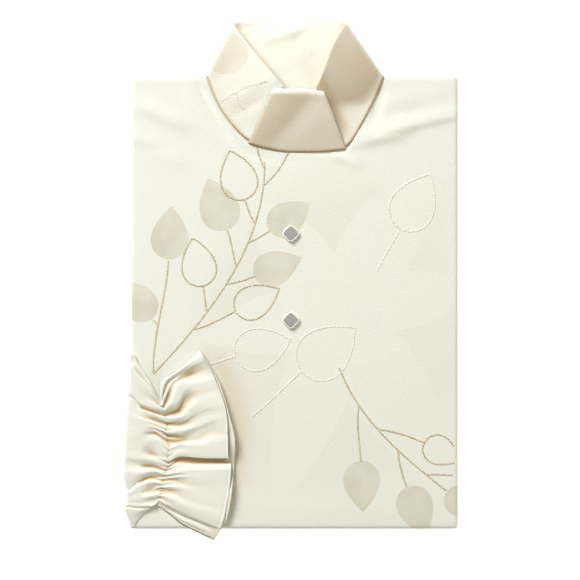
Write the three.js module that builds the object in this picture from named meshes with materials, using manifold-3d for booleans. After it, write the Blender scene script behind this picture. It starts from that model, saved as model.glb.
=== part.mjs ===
// A clergy robe, folded and laid flat: a tall soft collar stands at the neck, two square buttons
// close the chest, and the right sleeve comes round the side so that its ruffled cuff lies on the front.
//
// Millimetres, +Z up. The garment is drawn with x = 0 on the folded body's centre line, y = 0 at the
// shoulder fold, y falling towards the bottom fold, and z = 0 on the table. At the end the group is
// moved so that its origin is the middle of the base of its own box.
import * as THREE from "three";
import { mergeVertices } from "three/addons/utils/BufferGeometryUtils.js";
import Module from "manifold-3d";

const wasm = await Module();
wasm.setup();

// ---- Driving dimensions -------------------------------------------------------------------------
const BODY_WIDTH = 294; // folded body, side fold to side fold
const BODY_LENGTH = 408; // shoulder fold to bottom fold
const STACK = 18; // height of the folded body, three thirds lying on each other
const THIRD = STACK / 3; // one folded third
const SIDE_ROLL = THIRD / 2; // radius of the side and shoulder folds
const HEM_ROLL = STACK / 2; // radius of the bottom fold, which goes round the whole stack
const CLOTH = 1.2; // wall of the body cloth
const SLEEVE_CLOTH = 1.0; // wall of the thinner sleeve cloth
const COLLAR_CLOTH = 1.6; // collar: two layers of cloth with interfacing between them
const SEAM_GAP = 0.3; // clearance between neighbouring pieces
const UNDERSIDE_END = 12; // the front's cloth stops this far short of the shoulder fold underneath

const NECK_DEPTH = 66; // shoulder fold to the lowest point of the front neckline
const NECK_LEFT = -77; // where the front neckline nears the shoulder fold
const NECK_RIGHT = 78.5;
const NECK_CORNER = { out: 3.6, down: 4.5 }; // room for the collar band where it turns over the fold

const BUTTON_SIDE = 13; // rounded square, set on its corner
const BUTTON_CORNER = 3.6;
const BUTTON_THICK = 2.2;
const INLAY_SIDE = 11.2;
const INLAY_CORNER = 3;
const INLAY_THICK = 0.8;
const SHANK_RADIUS = 2.4;
const SHANK_LENGTH = 0.9;
const BUTTON_X = -3.3;
const FIRST_BUTTON_Y = -141.8;
const BUTTON_PITCH = 78;
const BUTTON_COUNT = 2;

const CUFF = { x: -117.5, y: -295 }; // top of the shirred line, the reference point of both cuff tables

// ---- Colours ------------------------------------------------------------------------------------
const ivory = { color: 0xf1eee0, roughness: 0.55, metalness: 0 };
const cream = { color: 0xf3eedd, roughness: 0.5, metalness: 0 };
const shellWhite = { color: 0xf4efe2, roughness: 0.25, metalness: 0 };
const greyInlay = { color: 0x8d8782, roughness: 0.3, metalness: 0.6 };

const robe = new THREE.Group();

function addPiece(name, geometry, finish) {
  const mesh = new THREE.Mesh(geometry, new THREE.MeshStandardMaterial(finish));
  mesh.name = name;
  robe.add(mesh);
  return mesh;
}

// ---- Making solids ------------------------------------------------------------------------------
function closedGeometry(points, faces) {
  let volume = 0;
  for (const [a, b, c] of faces) volume += points[a].dot(points[b].clone().cross(points[c]));
  const index = volume < 0 ? faces.flatMap(([a, b, c]) => [a, c, b]) : faces.flat();
  return new THREE.BufferGeometry().setFromPoints(points).setIndex(index);
}

// A wall of cloth. rows holds a grid of points on its outer face (or on its middle, with centred);
// the other face is the same grid moved along the surface's normals. A closed wall's rows are rings.
// inward is +1 or -1, the side of the grid on which the cloth lies.
function clothWall(rows, thickness, { closed = false, centred = false, inward = 1 } = {}) {
  const count = rows.length;
  const width = rows[0].length;
  const at = (i, j) =>
    rows[Math.min(Math.max(i, 0), count - 1)][closed ? (j + width) % width : Math.min(Math.max(j, 0), width - 1)];
  const outer = [];
  const inner = [];
  for (let i = 0; i < count; i++) {
    for (let j = 0; j < width; j++) {
      const across = at(i, j + 1).clone().sub(at(i, j - 1));
      const along = at(i + 1, j).clone().sub(at(i - 1, j));
      const normal = across.cross(along).normalize().multiplyScalar(inward);
      outer.push(at(i, j).clone().addScaledVector(normal, centred ? -thickness / 2 : 0));
      inner.push(at(i, j).clone().addScaledVector(normal, centred ? thickness / 2 : thickness));
    }
  }
  const points = [...outer, ...inner];
  const shift = outer.length;
  const id = (i, j) => i * width + (closed ? j % width : j);
  const faces = [];
  const quad = (a, b, c, d) => faces.push([a, b, c], [a, c, d]);
  const spans = closed ? width : width - 1;
  for (let i = 0; i < count - 1; i++) {
    for (let j = 0; j < spans; j++) {
      const [a, b, c, d] = [id(i, j), id(i, j + 1), id(i + 1, j + 1), id(i + 1, j)];
      quad(a, b, c, d);
      quad(d + shift, c + shift, b + shift, a + shift);
    }
  }
  for (let j = 0; j < spans; j++) {
    const [a, b] = [id(0, j), id(0, j + 1)];
    const [c, d] = [id(count - 1, j), id(count - 1, j + 1)];
    quad(b, a, a + shift, b + shift);
    quad(c, d, d + shift, c + shift);
  }
  for (let i = 0; !closed && i < count - 1; i++) {
    const [a, b] = [id(i, 0), id(i + 1, 0)];
    const [c, d] = [id(i, width - 1), id(i + 1, width - 1)];
    quad(a, b, b + shift, a + shift);
    quad(d, c, c + shift, d + shift);
  }
  return closedGeometry(points, faces);
}

// A solid lofted through rings of equal length, each closed with a fan at its two ends.
function ringLoft(rings) {
  const width = rings[0].length;
  const points = rings.flat();
  const faces = [];
  for (let i = 0; i < rings.length - 1; i++) {
    for (let j = 0; j < width; j++) {
      const [a, b] = [i * width + j, i * width + ((j + 1) % width)];
      faces.push([a, b, b + width], [a, b + width, a + width]);
    }
  }
  for (const [row, turn] of [[0, true], [rings.length - 1, false]]) {
    const middle = rings[row].reduce((sum, p) => sum.add(p), new THREE.Vector3()).divideScalar(width);
    points.push(middle);
    for (let j = 0; j < width; j++) {
      const [a, b] = [row * width + j, row * width + ((j + 1) % width)];
      faces.push(turn ? [b, a, points.length - 1] : [a, b, points.length - 1]);
    }
  }
  return closedGeometry(points, faces);
}

function solidOf(geometry) {
  const bare = geometry.clone();
  bare.deleteAttribute("normal");
  bare.deleteAttribute("uv");
  const merged = mergeVertices(bare, 1e-4);
  return new wasm.Manifold(
    new wasm.Mesh({
      numProp: 3,
      vertProperties: merged.attributes.position.array,
      triVerts: new Uint32Array(merged.index.array),
    }),
  );
}

function geometryOf(solid) {
  const mesh = solid.getMesh();
  return new THREE.BufferGeometry()
    .setAttribute("position", new THREE.BufferAttribute(mesh.vertProperties, 3))
    .setIndex(new THREE.BufferAttribute(mesh.triVerts, 1));
}

const range = (count) => Array.from({ length: count }, (_, i) => i);
const spread = (from, to, steps) => range(steps + 1).map((i) => from + ((to - from) * i) / steps);

// ---- The front's surface ------------------------------------------------------------------------
// The largest folds of the front: soft troughs (depth over 0) from one point to another.
const FRONT_FOLDS = [
  { name: "from the collar's corner to the right side", from: [46, -68], to: [147, -46], width: 9, depth: 0.6 },
  { name: "under the collar, right", from: [20, -86], to: [50, -93], width: 8, depth: 0.5 },
  { name: "left shoulder", from: [-132, -32], to: [-96, -46], width: 13, depth: 0.5 },
];

function foldDepth(x, y) {
  const point = new THREE.Vector2(x, y);
  return FRONT_FOLDS.reduce((sum, fold) => {
    const from = new THREE.Vector2(...fold.from);
    const span = new THREE.Vector2(...fold.to).sub(from);
    const along = THREE.MathUtils.clamp(point.clone().sub(from).dot(span) / span.lengthSq(), 0, 1);
    const away = point.distanceTo(from.addScaledVector(span, along)) / fold.width;
    return sum + fold.depth * Math.exp(-away * away);
  }, 0);
}

const HALF_FLAT = BODY_WIDTH / 2 - SIDE_ROLL; // the body is flat this far either side of its centre line
const TOP_RUN = BODY_LENGTH - HEM_ROLL - SIDE_ROLL; // flat run of the top, between its two rolls
const FOLD_AXIS_Y = -SIDE_ROLL - TOP_RUN; // the bottom fold turns about this line

// A point of the front's outer face. s runs across the cloth from its centre line, p runs along it
// from the start of the shoulder roll: under 0 it goes over the shoulder fold, then it crosses the
// top, turns about the bottom fold and comes back underneath. Past HALF_FLAT the cloth rolls round
// the side fold. At the two shoulder corners both rolls join in a quarter dome.
function frontPoint(s, p) {
  const side = Math.max(Math.abs(s) - HALF_FLAT, 0);
  const over = Math.max(-p, 0);
  const rolled = Math.max(side, over);
  const turn = rolled === 0 ? 0 : side >= over ? (Math.PI / 4) * (over / side) : Math.PI / 2 - (Math.PI / 4) * (side / over);
  const out = SIDE_ROLL * Math.sin(rolled / SIDE_ROLL);
  const drop = SIDE_ROLL * (1 - Math.cos(rolled / SIDE_ROLL));
  const x = side > 0 ? Math.sign(s) * (HALF_FLAT + out * Math.cos(turn)) : s;
  if (p < 0) return new THREE.Vector3(x, -SIDE_ROLL + out * Math.sin(turn), STACK - drop);
  if (p <= TOP_RUN) {
    const y = -SIDE_ROLL - p;
    const fade = 1 - drop / (2 * SIDE_ROLL);
    return new THREE.Vector3(x, y, STACK - drop - fade * foldDepth(x, y));
  }
  const angle = Math.min((p - TOP_RUN) / HEM_ROLL, Math.PI);
  const radius = HEM_ROLL - drop;
  const back = Math.max(p - TOP_RUN - Math.PI * HEM_ROLL, 0);
  return new THREE.Vector3(x, FOLD_AXIS_Y - radius * Math.sin(angle) + back, HEM_ROLL + radius * Math.cos(angle));
}

const frontTop = (x, y) => STACK - foldDepth(x, y);

function makeFront() {
  const rollLength = Math.PI * SIDE_ROLL;
  const rollSteps = 6;
  const across = [
    ...spread(-HALF_FLAT - rollLength, -HALF_FLAT, rollSteps),
    ...spread(-HALF_FLAT, HALF_FLAT, 14).slice(1, -1),
    ...spread(HALF_FLAT, HALF_FLAT + rollLength, rollSteps),
  ];
  const hemEnd = TOP_RUN + Math.PI * HEM_ROLL;
  const along = [
    ...spread(-rollLength, 0, rollSteps),
    ...spread(0, 120, 8).slice(1),
    ...spread(120, TOP_RUN, 4).slice(1),
    ...spread(TOP_RUN, hemEnd, 12).slice(1),
    ...spread(hemEnd, hemEnd - FOLD_AXIS_Y - UNDERSIDE_END, 4).slice(1),
  ];
  const rows = along.map((p) => across.map((s) => frontPoint(s, p)));
  const sheet = solidOf(clothWall(rows, CLOTH, { inward: 1 }));

  // The neck hole: open at the shoulder fold and curved at the front.
  const neck = new THREE.Shape();
  neck.moveTo(NECK_LEFT - NECK_CORNER.out, 2 * SIDE_ROLL);
  neck.lineTo(NECK_LEFT - NECK_CORNER.out, -NECK_CORNER.down);
  neck.lineTo(NECK_LEFT, -NECK_CORNER.down - 3);
  neck.bezierCurveTo(NECK_LEFT + 10, -34, -48, -NECK_DEPTH, 0, -NECK_DEPTH);
  neck.bezierCurveTo(16, -NECK_DEPTH, 34, -NECK_DEPTH + 1, 43, -NECK_DEPTH + 3);
  neck.lineTo(NECK_RIGHT - 2, -NECK_CORNER.down - 3);
  neck.lineTo(NECK_RIGHT + NECK_CORNER.out, -NECK_CORNER.down);
  neck.lineTo(NECK_RIGHT + NECK_CORNER.out, 2 * SIDE_ROLL);
  const cutter = new THREE.ExtrudeGeometry(neck, { depth: STACK, bevelEnabled: false, curveSegments: 12 });
  cutter.translate(0, 0, STACK - 2 * SIDE_ROLL - SEAM_GAP);
  return geometryOf(sheet.subtract(solidOf(cutter)));
}
addPiece("front", makeFront(), ivory);

// ---- The hidden layers --------------------------------------------------------------------------
// The back, the folded-up skirt and the folded-in sleeves share one solid. Each third of the fold has
// a rounded edge: left and right are how far its flat part goes, and round is the radius of its edge.
const LIP = SEAM_GAP + 0.4; // clearance to the turned-in edge of the front's cloth
const REACH = HALF_FLAT - LIP;
const THIRDS = [
  { name: "lower", middle: SIDE_ROLL, round: 1.5, left: REACH, right: REACH },
  { name: "hem", middle: STACK / 2, round: 2.7, left: REACH, right: REACH, sleeveRoom: 4.5 },
  { name: "upper", middle: STACK - SIDE_ROLL - 0.7, round: 1.1, left: REACH - LIP, right: REACH - LIP },
];
const SLEEVE_TOP_Y = -246; // below here the hem third leaves room on the left for the sleeve
const NOSE = { middle: 6.6, round: 5.2, y: -7, groove: 1 }; // where the lower third turns up into the hem third
const EDGE_STEPS = 6;

function layerRing({ name, middle, round, left, right, sleeveRoom = 0 }, angle) {
  const z = middle + round * Math.sin(angle);
  const out = round * Math.cos(angle);
  const noseOut = Math.sqrt(Math.max(NOSE.round ** 2 - (z - NOSE.middle) ** 2, 0));
  const groove = NOSE.groove * Math.exp(-((z - NOSE.middle) ** 2));
  const shoulder = name === "upper" ? -SIDE_ROLL - 2 * LIP + out : NOSE.y + noseOut - groove;
  const inside = HEM_ROLL - CLOTH - LIP;
  const hem = FOLD_AXIS_Y - Math.sqrt(Math.max(inside ** 2 - (z - HEM_ROLL) ** 2, 0));
  const notch = FOLD_AXIS_Y + 1.5; // past here the sides of the front turn with the bottom fold
  const corner = 1.2;
  const half = (reach, room) => {
    const side = reach + out;
    const lower = side - room;
    const end = Math.min(HALF_FLAT - 2 * LIP, lower - 0.8 * corner);
    return [
      [side - 2 * corner, shoulder],
      [side - 0.6 * corner, shoulder - 0.6 * corner],
      [side, shoulder - 2 * corner],
      [side, SLEEVE_TOP_Y + 3],
      [lower, SLEEVE_TOP_Y - 1],
      [lower, notch + 2 * corner],
      [lower - 0.5 * corner, notch + 0.5 * corner],
      [end, notch],
      [end, hem + corner],
      [end - corner, hem],
    ];
  };
  const rightSide = half(right, 0).map(([x, y]) => new THREE.Vector3(x, y, z));
  const leftSide = half(left, sleeveRoom).map(([x, y]) => new THREE.Vector3(-x, y, z));
  return [...rightSide, ...leftSide.reverse()];
}

const layerRings = THIRDS.flatMap((third) =>
  spread(-Math.PI / 2, Math.PI / 2, EDGE_STEPS).map((angle) => layerRing(third, angle)),
);
addPiece("folded_layers", ringLoft(layerRings), ivory);

// ---- The collar ---------------------------------------------------------------------------------
// The band goes from under the front flap, round the left side, the back and the right side. A row
// for each place round it: x and y at its neck seam and at its rim, and rise, the height of the
// cloth's middle above the front's face there. bend over 1 keeps the cloth level near its seam and
// lets it fall towards the rim, as the back does where it passes over the shoulder fold.
const BAND = [
  { place: "left end, under the flap", neck: [-41, -58], rim: [-9.5, -10], neckRise: 1.15, rimRise: 11.5 },
  { place: "left front", neck: [-46, -54.5], rim: [-17, -2], neckRise: 1.15, rimRise: 12 },
  { place: "left", neck: [-56, -44.5], rim: [-28, 11], neckRise: 1.15, rimRise: 10.5 },
  { place: "left side", neck: [-66.5, -30], rim: [-38, 25], neckRise: 1.15, rimRise: 7.5 },
  { place: "left shoulder", neck: [-74, -14], rim: [-47, 38], neckRise: 1.15, rimRise: 3 },
  { place: "left back fold, upper", neck: [-78, -3], rim: [-52, 45.5], neckRise: 1.15, rimRise: -0.5 },
  { place: "left back fold, edge", neck: [-78.4, -1], rim: [-53.4, 47.6], neckRise: 0.5, rimRise: -2.8 },
  { place: "left back fold, lower", neck: [-74, -5], rim: [-50, 48.4], neckRise: -1.1, rimRise: -5, bend: 2.4 },
  { place: "back left", neck: [-52, -16], rim: [-34, 48.6], neckRise: -1.1, rimRise: -6.5, bend: 2.4 },
  { place: "back", neck: [0, -22], rim: [-3, 48.6], neckRise: -1.1, rimRise: -7.5, bend: 2.4 },
  { place: "back right", neck: [52, -16], rim: [28, 48.6], neckRise: -1.1, rimRise: -6.5, bend: 2.4 },
  { place: "right back fold, lower", neck: [75, -5], rim: [43.5, 48.4], neckRise: -1.1, rimRise: -5, bend: 2.4 },
  { place: "right back fold, edge", neck: [80, -1], rim: [46.9, 47.6], neckRise: 0.5, rimRise: -2.8 },
  { place: "right back fold, upper", neck: [79.6, -3], rim: [46, 45.5], neckRise: 1.15, rimRise: -0.5 },
  { place: "right shoulder", neck: [75, -14], rim: [42, 36], neckRise: 1.15, rimRise: 3 },
  { place: "right side", neck: [68, -29], rim: [36, 23], neckRise: 1.15, rimRise: 7.5 },
  { place: "right", neck: [59, -46], rim: [30, 8], neckRise: 1.15, rimRise: 10.5 },
  { place: "right front", neck: [50, -60], rim: [25, -4], neckRise: 1.15, rimRise: 12 },
  { place: "right end, under the flap", neck: [46, -63.5], rim: [20, -12], neckRise: 1.15, rimRise: 11.5 },
];

// The flap is the front of the collar, folded over the band's two ends.
const FLAP = [
  { place: "left fold", neck: [-42, -60.3], rim: [-18.5, -12.6], neckRise: 2.9, rimRise: 13.9 },
  { place: "left", neck: [-29, -65], rim: [-11, -12.8], neckRise: 2.0, rimRise: 15.6 },
  { place: "middle", neck: [-4, -68.6], rim: [3, -13.6], neckRise: 1.15, rimRise: 16.4 },
  { place: "right", neck: [24, -68.4], rim: [18, -14.6], neckRise: 2.0, rimRise: 15.8 },
  { place: "right fold", neck: [45.5, -66], rim: [27.5, -15.4], neckRise: 2.9, rimRise: 14.0 },
];

// Straight rows from the neck seam to the rim, with a belly that pushes the middle of the cloth up.
function collarRows(table, steps, belly) {
  return spread(0, 1, steps).map((v) =>
    table.map(({ neck, rim, neckRise, rimRise, bend = 1 }) => {
      const flat = (i) => neck[i] + (rim[i] - neck[i]) * v;
      const rise = neckRise + (rimRise - neckRise) * v ** bend + belly * 4 * v * (1 - v);
      return new THREE.Vector3(flat(0), flat(1), STACK + rise);
    }),
  );
}
addPiece("collar_band", clothWall(collarRows(BAND, 8, 0), COLLAR_CLOTH, { centred: true }), ivory);
addPiece("collar_front", clothWall(collarRows(FLAP, 8, 0.8), COLLAR_CLOTH, { centred: true }), ivory);

// ---- The sleeve and its ruffle --------------------------------------------------------------------
// Both are flattened tubes. The sleeve comes out between the upper and the hem thirds, bulges round
// the side fold and crosses the front to the shirred line, where elastic gathers it. The ruffle fans
// out from that line to its hem. Places are relative to CUFF, and rise is the height of the cloth's
// outer face above the front.
const SHIRRED_LINE = [[-5, 6], [-0.8, 0.7], [1.9, -13.7], [3.7, -32.6], [3.2, -55], [1, -68.6], [-3.5, -86.6], [-7, -94]];
const SHIRRED_WIDTH = 1.5; // clearance that the line of stitching takes

// Each row is one fold, a ridge or a valley, from the top of the cuff to its bottom. shirr says how
// far down the shirred line it ends, from 0 to 1.
const SLEEVE_FOLDS = [
  { fold: "top fold", edge: [-32.5, 47], middle: [-17, 30], shirr: 0.01, rise: [2.8, 2.8, 2.8] },
  { fold: "valley", edge: [-32.5, 42], middle: [-18, 25], shirr: 0.05, rise: [2.9, 2.8, 2.8] },
  { fold: "ridge", edge: [-32.5, 34], middle: [-19, 20], shirr: 0.09, rise: [3.4, 4.6, 4.2] },
  { fold: "panel", edge: [-33.5, 19], middle: [-19, 12], shirr: 0.13, rise: [3.6, 3.8, 3.6] },
  { fold: "ridge", edge: [-34.5, 12], middle: [-19, 4], shirr: 0.17, rise: [3.6, 3.9, 4.6] },
  { fold: "deep valley", edge: [-34.5, 8], middle: [-18, -1], shirr: 0.21, rise: [2.9, 2.8, 2.8] },
  { fold: "ridge", edge: [-35, 3], middle: [-17, -8], shirr: 0.26, rise: [3.6, 4.8, 4.4] },
  { fold: "panel", edge: [-36, -18], middle: [-18, -18], shirr: 0.31, rise: [3.8, 4.8, 3.8] },
  { fold: "valley", edge: [-37, -27], middle: [-15, -26], shirr: 0.37, rise: [3.8, 3.6, 2.8] },
  { fold: "ridge", edge: [-37, -34], middle: [-17, -34], shirr: 0.42, rise: [3.8, 4.6, 4.4] },
  { fold: "valley", edge: [-37, -42], middle: [-14, -42], shirr: 0.47, rise: [3.8, 3.4, 2.8] },
  { fold: "ridge", edge: [-38, -49], middle: [-16, -49], shirr: 0.53, rise: [3.8, 4.8, 4.2] },
  { fold: "valley", edge: [-38, -57], middle: [-17, -56], shirr: 0.58, rise: [3.2, 2.8, 2.8] },
  { fold: "ridge", edge: [-37, -66], middle: [-17, -63], shirr: 0.63, rise: [3.6, 4.6, 4.0] },
  { fold: "sharp valley", edge: [-35, -75], middle: [-18, -70], shirr: 0.68, rise: [3.0, 2.8, 2.8] },
  { fold: "ridge", edge: [-34, -79], middle: [-19, -75], shirr: 0.74, rise: [3.6, 4.6, 4.4] },
  { fold: "valley", edge: [-35, -84], middle: [-18, -80], shirr: 0.81, rise: [3.4, 3.6, 2.8] },
  { fold: "ridge", edge: [-36, -88], middle: [-20, -86], shirr: 0.87, rise: [3.6, 4.0, 4.2] },
  { fold: "lower edge", edge: [-36, -92], middle: [-22, -91], shirr: 0.93, rise: [3.0, 3.2, 3.2] },
  { fold: "bottom fold", edge: [-32.5, -111], middle: [-20, -104], shirr: 0.98, rise: [2.8, 2.8, 2.8] },
];
const RUFFLE_FOLDS = [
  { fold: "top fold", shirr: 0.02, near: [-3, 17], far: [12, 30], hem: [34, 48], rise: [2.8, 3.0, 3.0, 2.8] },
  { fold: "valley", shirr: 0.06, near: [2, 13], far: [15, 25], hem: [37, 43], rise: [2.8, 3.6, 3.8, 3.4] },
  { fold: "ridge", shirr: 0.11, near: [7, 8], far: [20, 21], hem: [41, 38], rise: [4.8, 5.8, 5.2, 4.4] },
  { fold: "valley", shirr: 0.17, near: [14, 0], far: [25, 14], hem: [47, 29], rise: [2.8, 3.2, 3.8, 4.0] },
  { fold: "ridge", shirr: 0.22, near: [19, -6], far: [35, 7], hem: [53, 16], rise: [4.8, 5.6, 5.6, 4.8] },
  { fold: "valley", shirr: 0.27, near: [19, -15], far: [34, -5], hem: [56, 5], rise: [2.9, 3.6, 4.4, 4.6] },
  { fold: "ridge", shirr: 0.32, near: [18, -23], far: [36, -14], hem: [58, -6], rise: [4.6, 5.4, 5.2, 4.8] },
  { fold: "valley", shirr: 0.37, near: [21, -31], far: [39, -24], hem: [58, -15], rise: [2.8, 3.0, 3.8, 4.4] },
  { fold: "ridge", shirr: 0.43, near: [21, -39], far: [40, -36], hem: [58, -32], rise: [4.8, 5.8, 6.0, 5.4] },
  { fold: "pleat edge", shirr: 0.49, near: [20, -46], far: [39, -48], hem: [58, -48], rise: [4.2, 5.4, 5.6, 5.4] },
  { fold: "pleat floor", shirr: 0.55, near: [21, -51], far: [40, -52], hem: [60, -53], rise: [2.8, 2.8, 2.8, 2.8] },
  { fold: "ridge", shirr: 0.63, near: [19, -60], far: [40, -60], hem: [62, -59], rise: [4.4, 4.8, 5.0, 4.6] },
  { fold: "valley", shirr: 0.7, near: [13, -69], far: [36, -72], hem: [60, -70], rise: [2.8, 4.0, 4.2, 4.2] },
  { fold: "ridge", shirr: 0.75, near: [13, -75], far: [36, -81], hem: [58, -79], rise: [4.4, 4.6, 4.0, 4.2] },
  { fold: "valley", shirr: 0.8, near: [11, -80], far: [33, -87], hem: [57, -89], rise: [2.8, 4.0, 4.2, 4.0] },
  { fold: "ridge", shirr: 0.86, near: [11, -86], far: [32, -94], hem: [54, -100], rise: [4.4, 4.8, 4.8, 4.4] },
  { fold: "lower edge", shirr: 0.93, near: [6, -93], far: [29, -102], hem: [51, -112], rise: [3.4, 3.6, 3.8, 3.6] },
  { fold: "bottom fold", shirr: 0.97, near: [5, -98], far: [24, -108], hem: [46, -119], rise: [2.8, 2.8, 2.8, 2.8] },
];

// The under layer of each tube lies on the front, from the bottom back to the top.
const UNDER_RISE = 0.4;
const SLEEVE_UNDER = [
  { edge: [-31, -110], middle: [-20, -103], shirr: 0.98 },
  { edge: [-31, -80], middle: [-17, -76], shirr: 0.79 },
  { edge: [-31, -45], middle: [-14, -44], shirr: 0.52 },
  { edge: [-31, -10], middle: [-15, -13], shirr: 0.27 },
  { edge: [-31, 20], middle: [-17, 12], shirr: 0.13 },
  { edge: [-31, 46], middle: [-17, 29], shirr: 0.01 },
];
const RUFFLE_UNDER = [
  { shirr: 0.97, near: [6, -97], far: [25, -107], hem: [47, -118] },
  { shirr: 0.85, near: [11, -86], far: [32, -94], hem: [57, -101] },
  { shirr: 0.64, near: [21, -63], far: [41, -67], hem: [62, -70] },
  { shirr: 0.4, near: [22, -34], far: [43, -34], hem: [64, -33] },
  { shirr: 0.18, near: [16, -3], far: [37, 4], hem: [59, 3] },
  { shirr: 0.02, near: [-2, 16], far: [13, 29], hem: [35, 46] },
];

const onCuff = ([dx, dy], z) => new THREE.Vector3(CUFF.x + dx, CUFF.y + dy, z);
const shirredLine = new THREE.CatmullRomCurve3(SHIRRED_LINE.map((place) => onCuff(place, 0)), false, "centripetal");

// A point beside the shirred line: to the sleeve's side of it, -1, or to the ruffle's, +1.
function besideShirring(along, side, z) {
  const tangent = shirredLine.getTangentAt(along);
  const place = shirredLine.getPointAt(along).setZ(z);
  const away = new THREE.Vector3(-tangent.y, tangent.x, 0).normalize();
  return place.addScaledVector(away, (side * SHIRRED_WIDTH) / 2);
}

const curveThrough = (points, steps) => new THREE.CatmullRomCurve3(points, false, "centripetal").getPoints(steps);

// The sleeve is tucked in between the thirds, inside the side fold and above the bottom fold.
const TUCK = { x: -HALF_FLAT + 1.6, lowZ: 8.9, highZ: STACK - THIRD - 0.45, lowestY: FOLD_AXIS_Y + 3 };
const SLEEVE_STEPS = 16;
const RUFFLE_STEPS = 8;

function sleeveCurve({ edge, middle, shirr, rise }) {
  const y = CUFF.y + edge[1];
  const inside = Math.max(y, TUCK.lowestY);
  const bulge = CUFF.x + edge[0];
  return curveThrough(
    [
      new THREE.Vector3(TUCK.x, inside, TUCK.lowZ),
      new THREE.Vector3(-HALF_FLAT - 3, inside, TUCK.lowZ + 0.2),
      new THREE.Vector3(bulge, y, STACK - SIDE_ROLL - 0.6),
      new THREE.Vector3(bulge + 3.5, y, STACK + rise[0] - 0.3),
      onCuff(middle, STACK + rise[1]),
      besideShirring(shirr, -1, STACK + rise[2]),
    ],
    SLEEVE_STEPS,
  );
}

function sleeveUnderCurve({ edge, middle, shirr }) {
  const y = CUFF.y + edge[1];
  const inside = Math.max(y, TUCK.lowestY);
  const round = SIDE_ROLL + 0.5;
  const aroundFold = (degrees, place) => {
    const angle = THREE.MathUtils.degToRad(degrees);
    const [out, up] = [round * Math.sin(angle), round * Math.cos(angle)];
    return new THREE.Vector3(-HALF_FLAT - out, place, STACK - SIDE_ROLL + up);
  };
  return curveThrough(
    [
      new THREE.Vector3(TUCK.x, inside, TUCK.highZ),
      aroundFold(160, inside),
      aroundFold(115, (inside + y) / 2),
      aroundFold(70, y),
      aroundFold(25, y),
      onCuff(middle, STACK + UNDER_RISE),
      besideShirring(shirr, -1, STACK + UNDER_RISE),
    ],
    SLEEVE_STEPS,
  );
}

const FLAT_RISE = [UNDER_RISE, UNDER_RISE, UNDER_RISE, UNDER_RISE];
function ruffleCurve({ shirr, near, far, hem, rise = FLAT_RISE }) {
  const places = [near, far, hem].map((place, i) => onCuff(place, STACK + rise[i + 1]));
  return curveThrough([besideShirring(shirr, 1, STACK + rise[0]), ...places], RUFFLE_STEPS);
}

// The rings of a flattened tube, one for each step along its folds.
const ringsOf = (curves) => curves[0].map((_, i) => curves.map((curve) => curve[i]));
const tube = (curves) => clothWall(ringsOf(curves), SLEEVE_CLOTH, { closed: true, inward: -1 });

const sleeveCurves = [...SLEEVE_FOLDS.map(sleeveCurve), ...SLEEVE_UNDER.map(sleeveUnderCurve)];
addPiece("sleeve_right", tube(sleeveCurves), cream);
addPiece("cuff_ruffle", tube([...RUFFLE_FOLDS, ...RUFFLE_UNDER].map(ruffleCurve)), cream);

// ---- The buttons --------------------------------------------------------------------------------
function roundedSquare(side, corner) {
  const half = side / 2;
  const flat = half - corner;
  const shape = new THREE.Shape();
  shape.moveTo(half, -flat);
  shape.absarc(flat, flat, corner, 0, Math.PI / 2);
  shape.absarc(-flat, flat, corner, Math.PI / 2, Math.PI);
  shape.absarc(-flat, -flat, corner, Math.PI, (3 * Math.PI) / 2);
  shape.absarc(flat, -flat, corner, (3 * Math.PI) / 2, 2 * Math.PI);
  return shape;
}

// A rounded square plate with a shallow well on top for the inlay and a round shank underneath.
function buttonBase() {
  const bevel = 0.5;
  const plate = new THREE.ExtrudeGeometry(roundedSquare(BUTTON_SIDE - 2 * bevel, BUTTON_CORNER - bevel), {
    depth: BUTTON_THICK - 2 * bevel,
    bevelThickness: bevel,
    bevelSize: bevel,
    bevelSegments: 2,
    curveSegments: 5,
  });
  plate.translate(0, 0, SHANK_LENGTH + bevel);
  const wellDepth = INLAY_THICK / 2;
  const well = new THREE.ExtrudeGeometry(
    roundedSquare(INLAY_SIDE + 2 * SEAM_GAP, INLAY_CORNER + SEAM_GAP),
    { depth: BUTTON_THICK, bevelEnabled: false, curveSegments: 5 },
  );
  well.translate(0, 0, SHANK_LENGTH + BUTTON_THICK - wellDepth);
  const shank = new THREE.CylinderGeometry(SHANK_RADIUS, SHANK_RADIUS, SHANK_LENGTH + BUTTON_THICK / 2, 16);
  shank.rotateX(Math.PI / 2);
  shank.translate(0, 0, (SHANK_LENGTH + BUTTON_THICK / 2) / 2);
  return geometryOf(solidOf(plate).subtract(solidOf(well)).add(solidOf(shank)));
}

function buttonInlay() {
  const inlay = new THREE.ExtrudeGeometry(roundedSquare(INLAY_SIDE, INLAY_CORNER), {
    depth: INLAY_THICK,
    bevelEnabled: false,
    curveSegments: 5,
  });
  inlay.translate(0, 0, SHANK_LENGTH + BUTTON_THICK - INLAY_THICK / 2 + SEAM_GAP);
  return inlay;
}

for (const i of range(BUTTON_COUNT)) {
  const y = FIRST_BUTTON_Y - i * BUTTON_PITCH;
  for (const [name, geometry, finish] of [
    [`button_${i + 1}`, buttonBase(), shellWhite],
    [`button_${i + 1}_inlay`, buttonInlay(), greyInlay],
  ]) {
    const piece = addPiece(name, geometry, finish);
    piece.position.set(BUTTON_X, y, frontTop(BUTTON_X, y) + SEAM_GAP);
    piece.rotation.z = Math.PI / 4;
  }
}

// ---- The part's frame: the middle of the box's base ---------------------------------------------
const box = new THREE.Box3().setFromObject(robe, true);
const centre = box.getCenter(new THREE.Vector3());
robe.position.set(-centre.x, -centre.y, -box.min.z);

export default robe;
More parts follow.
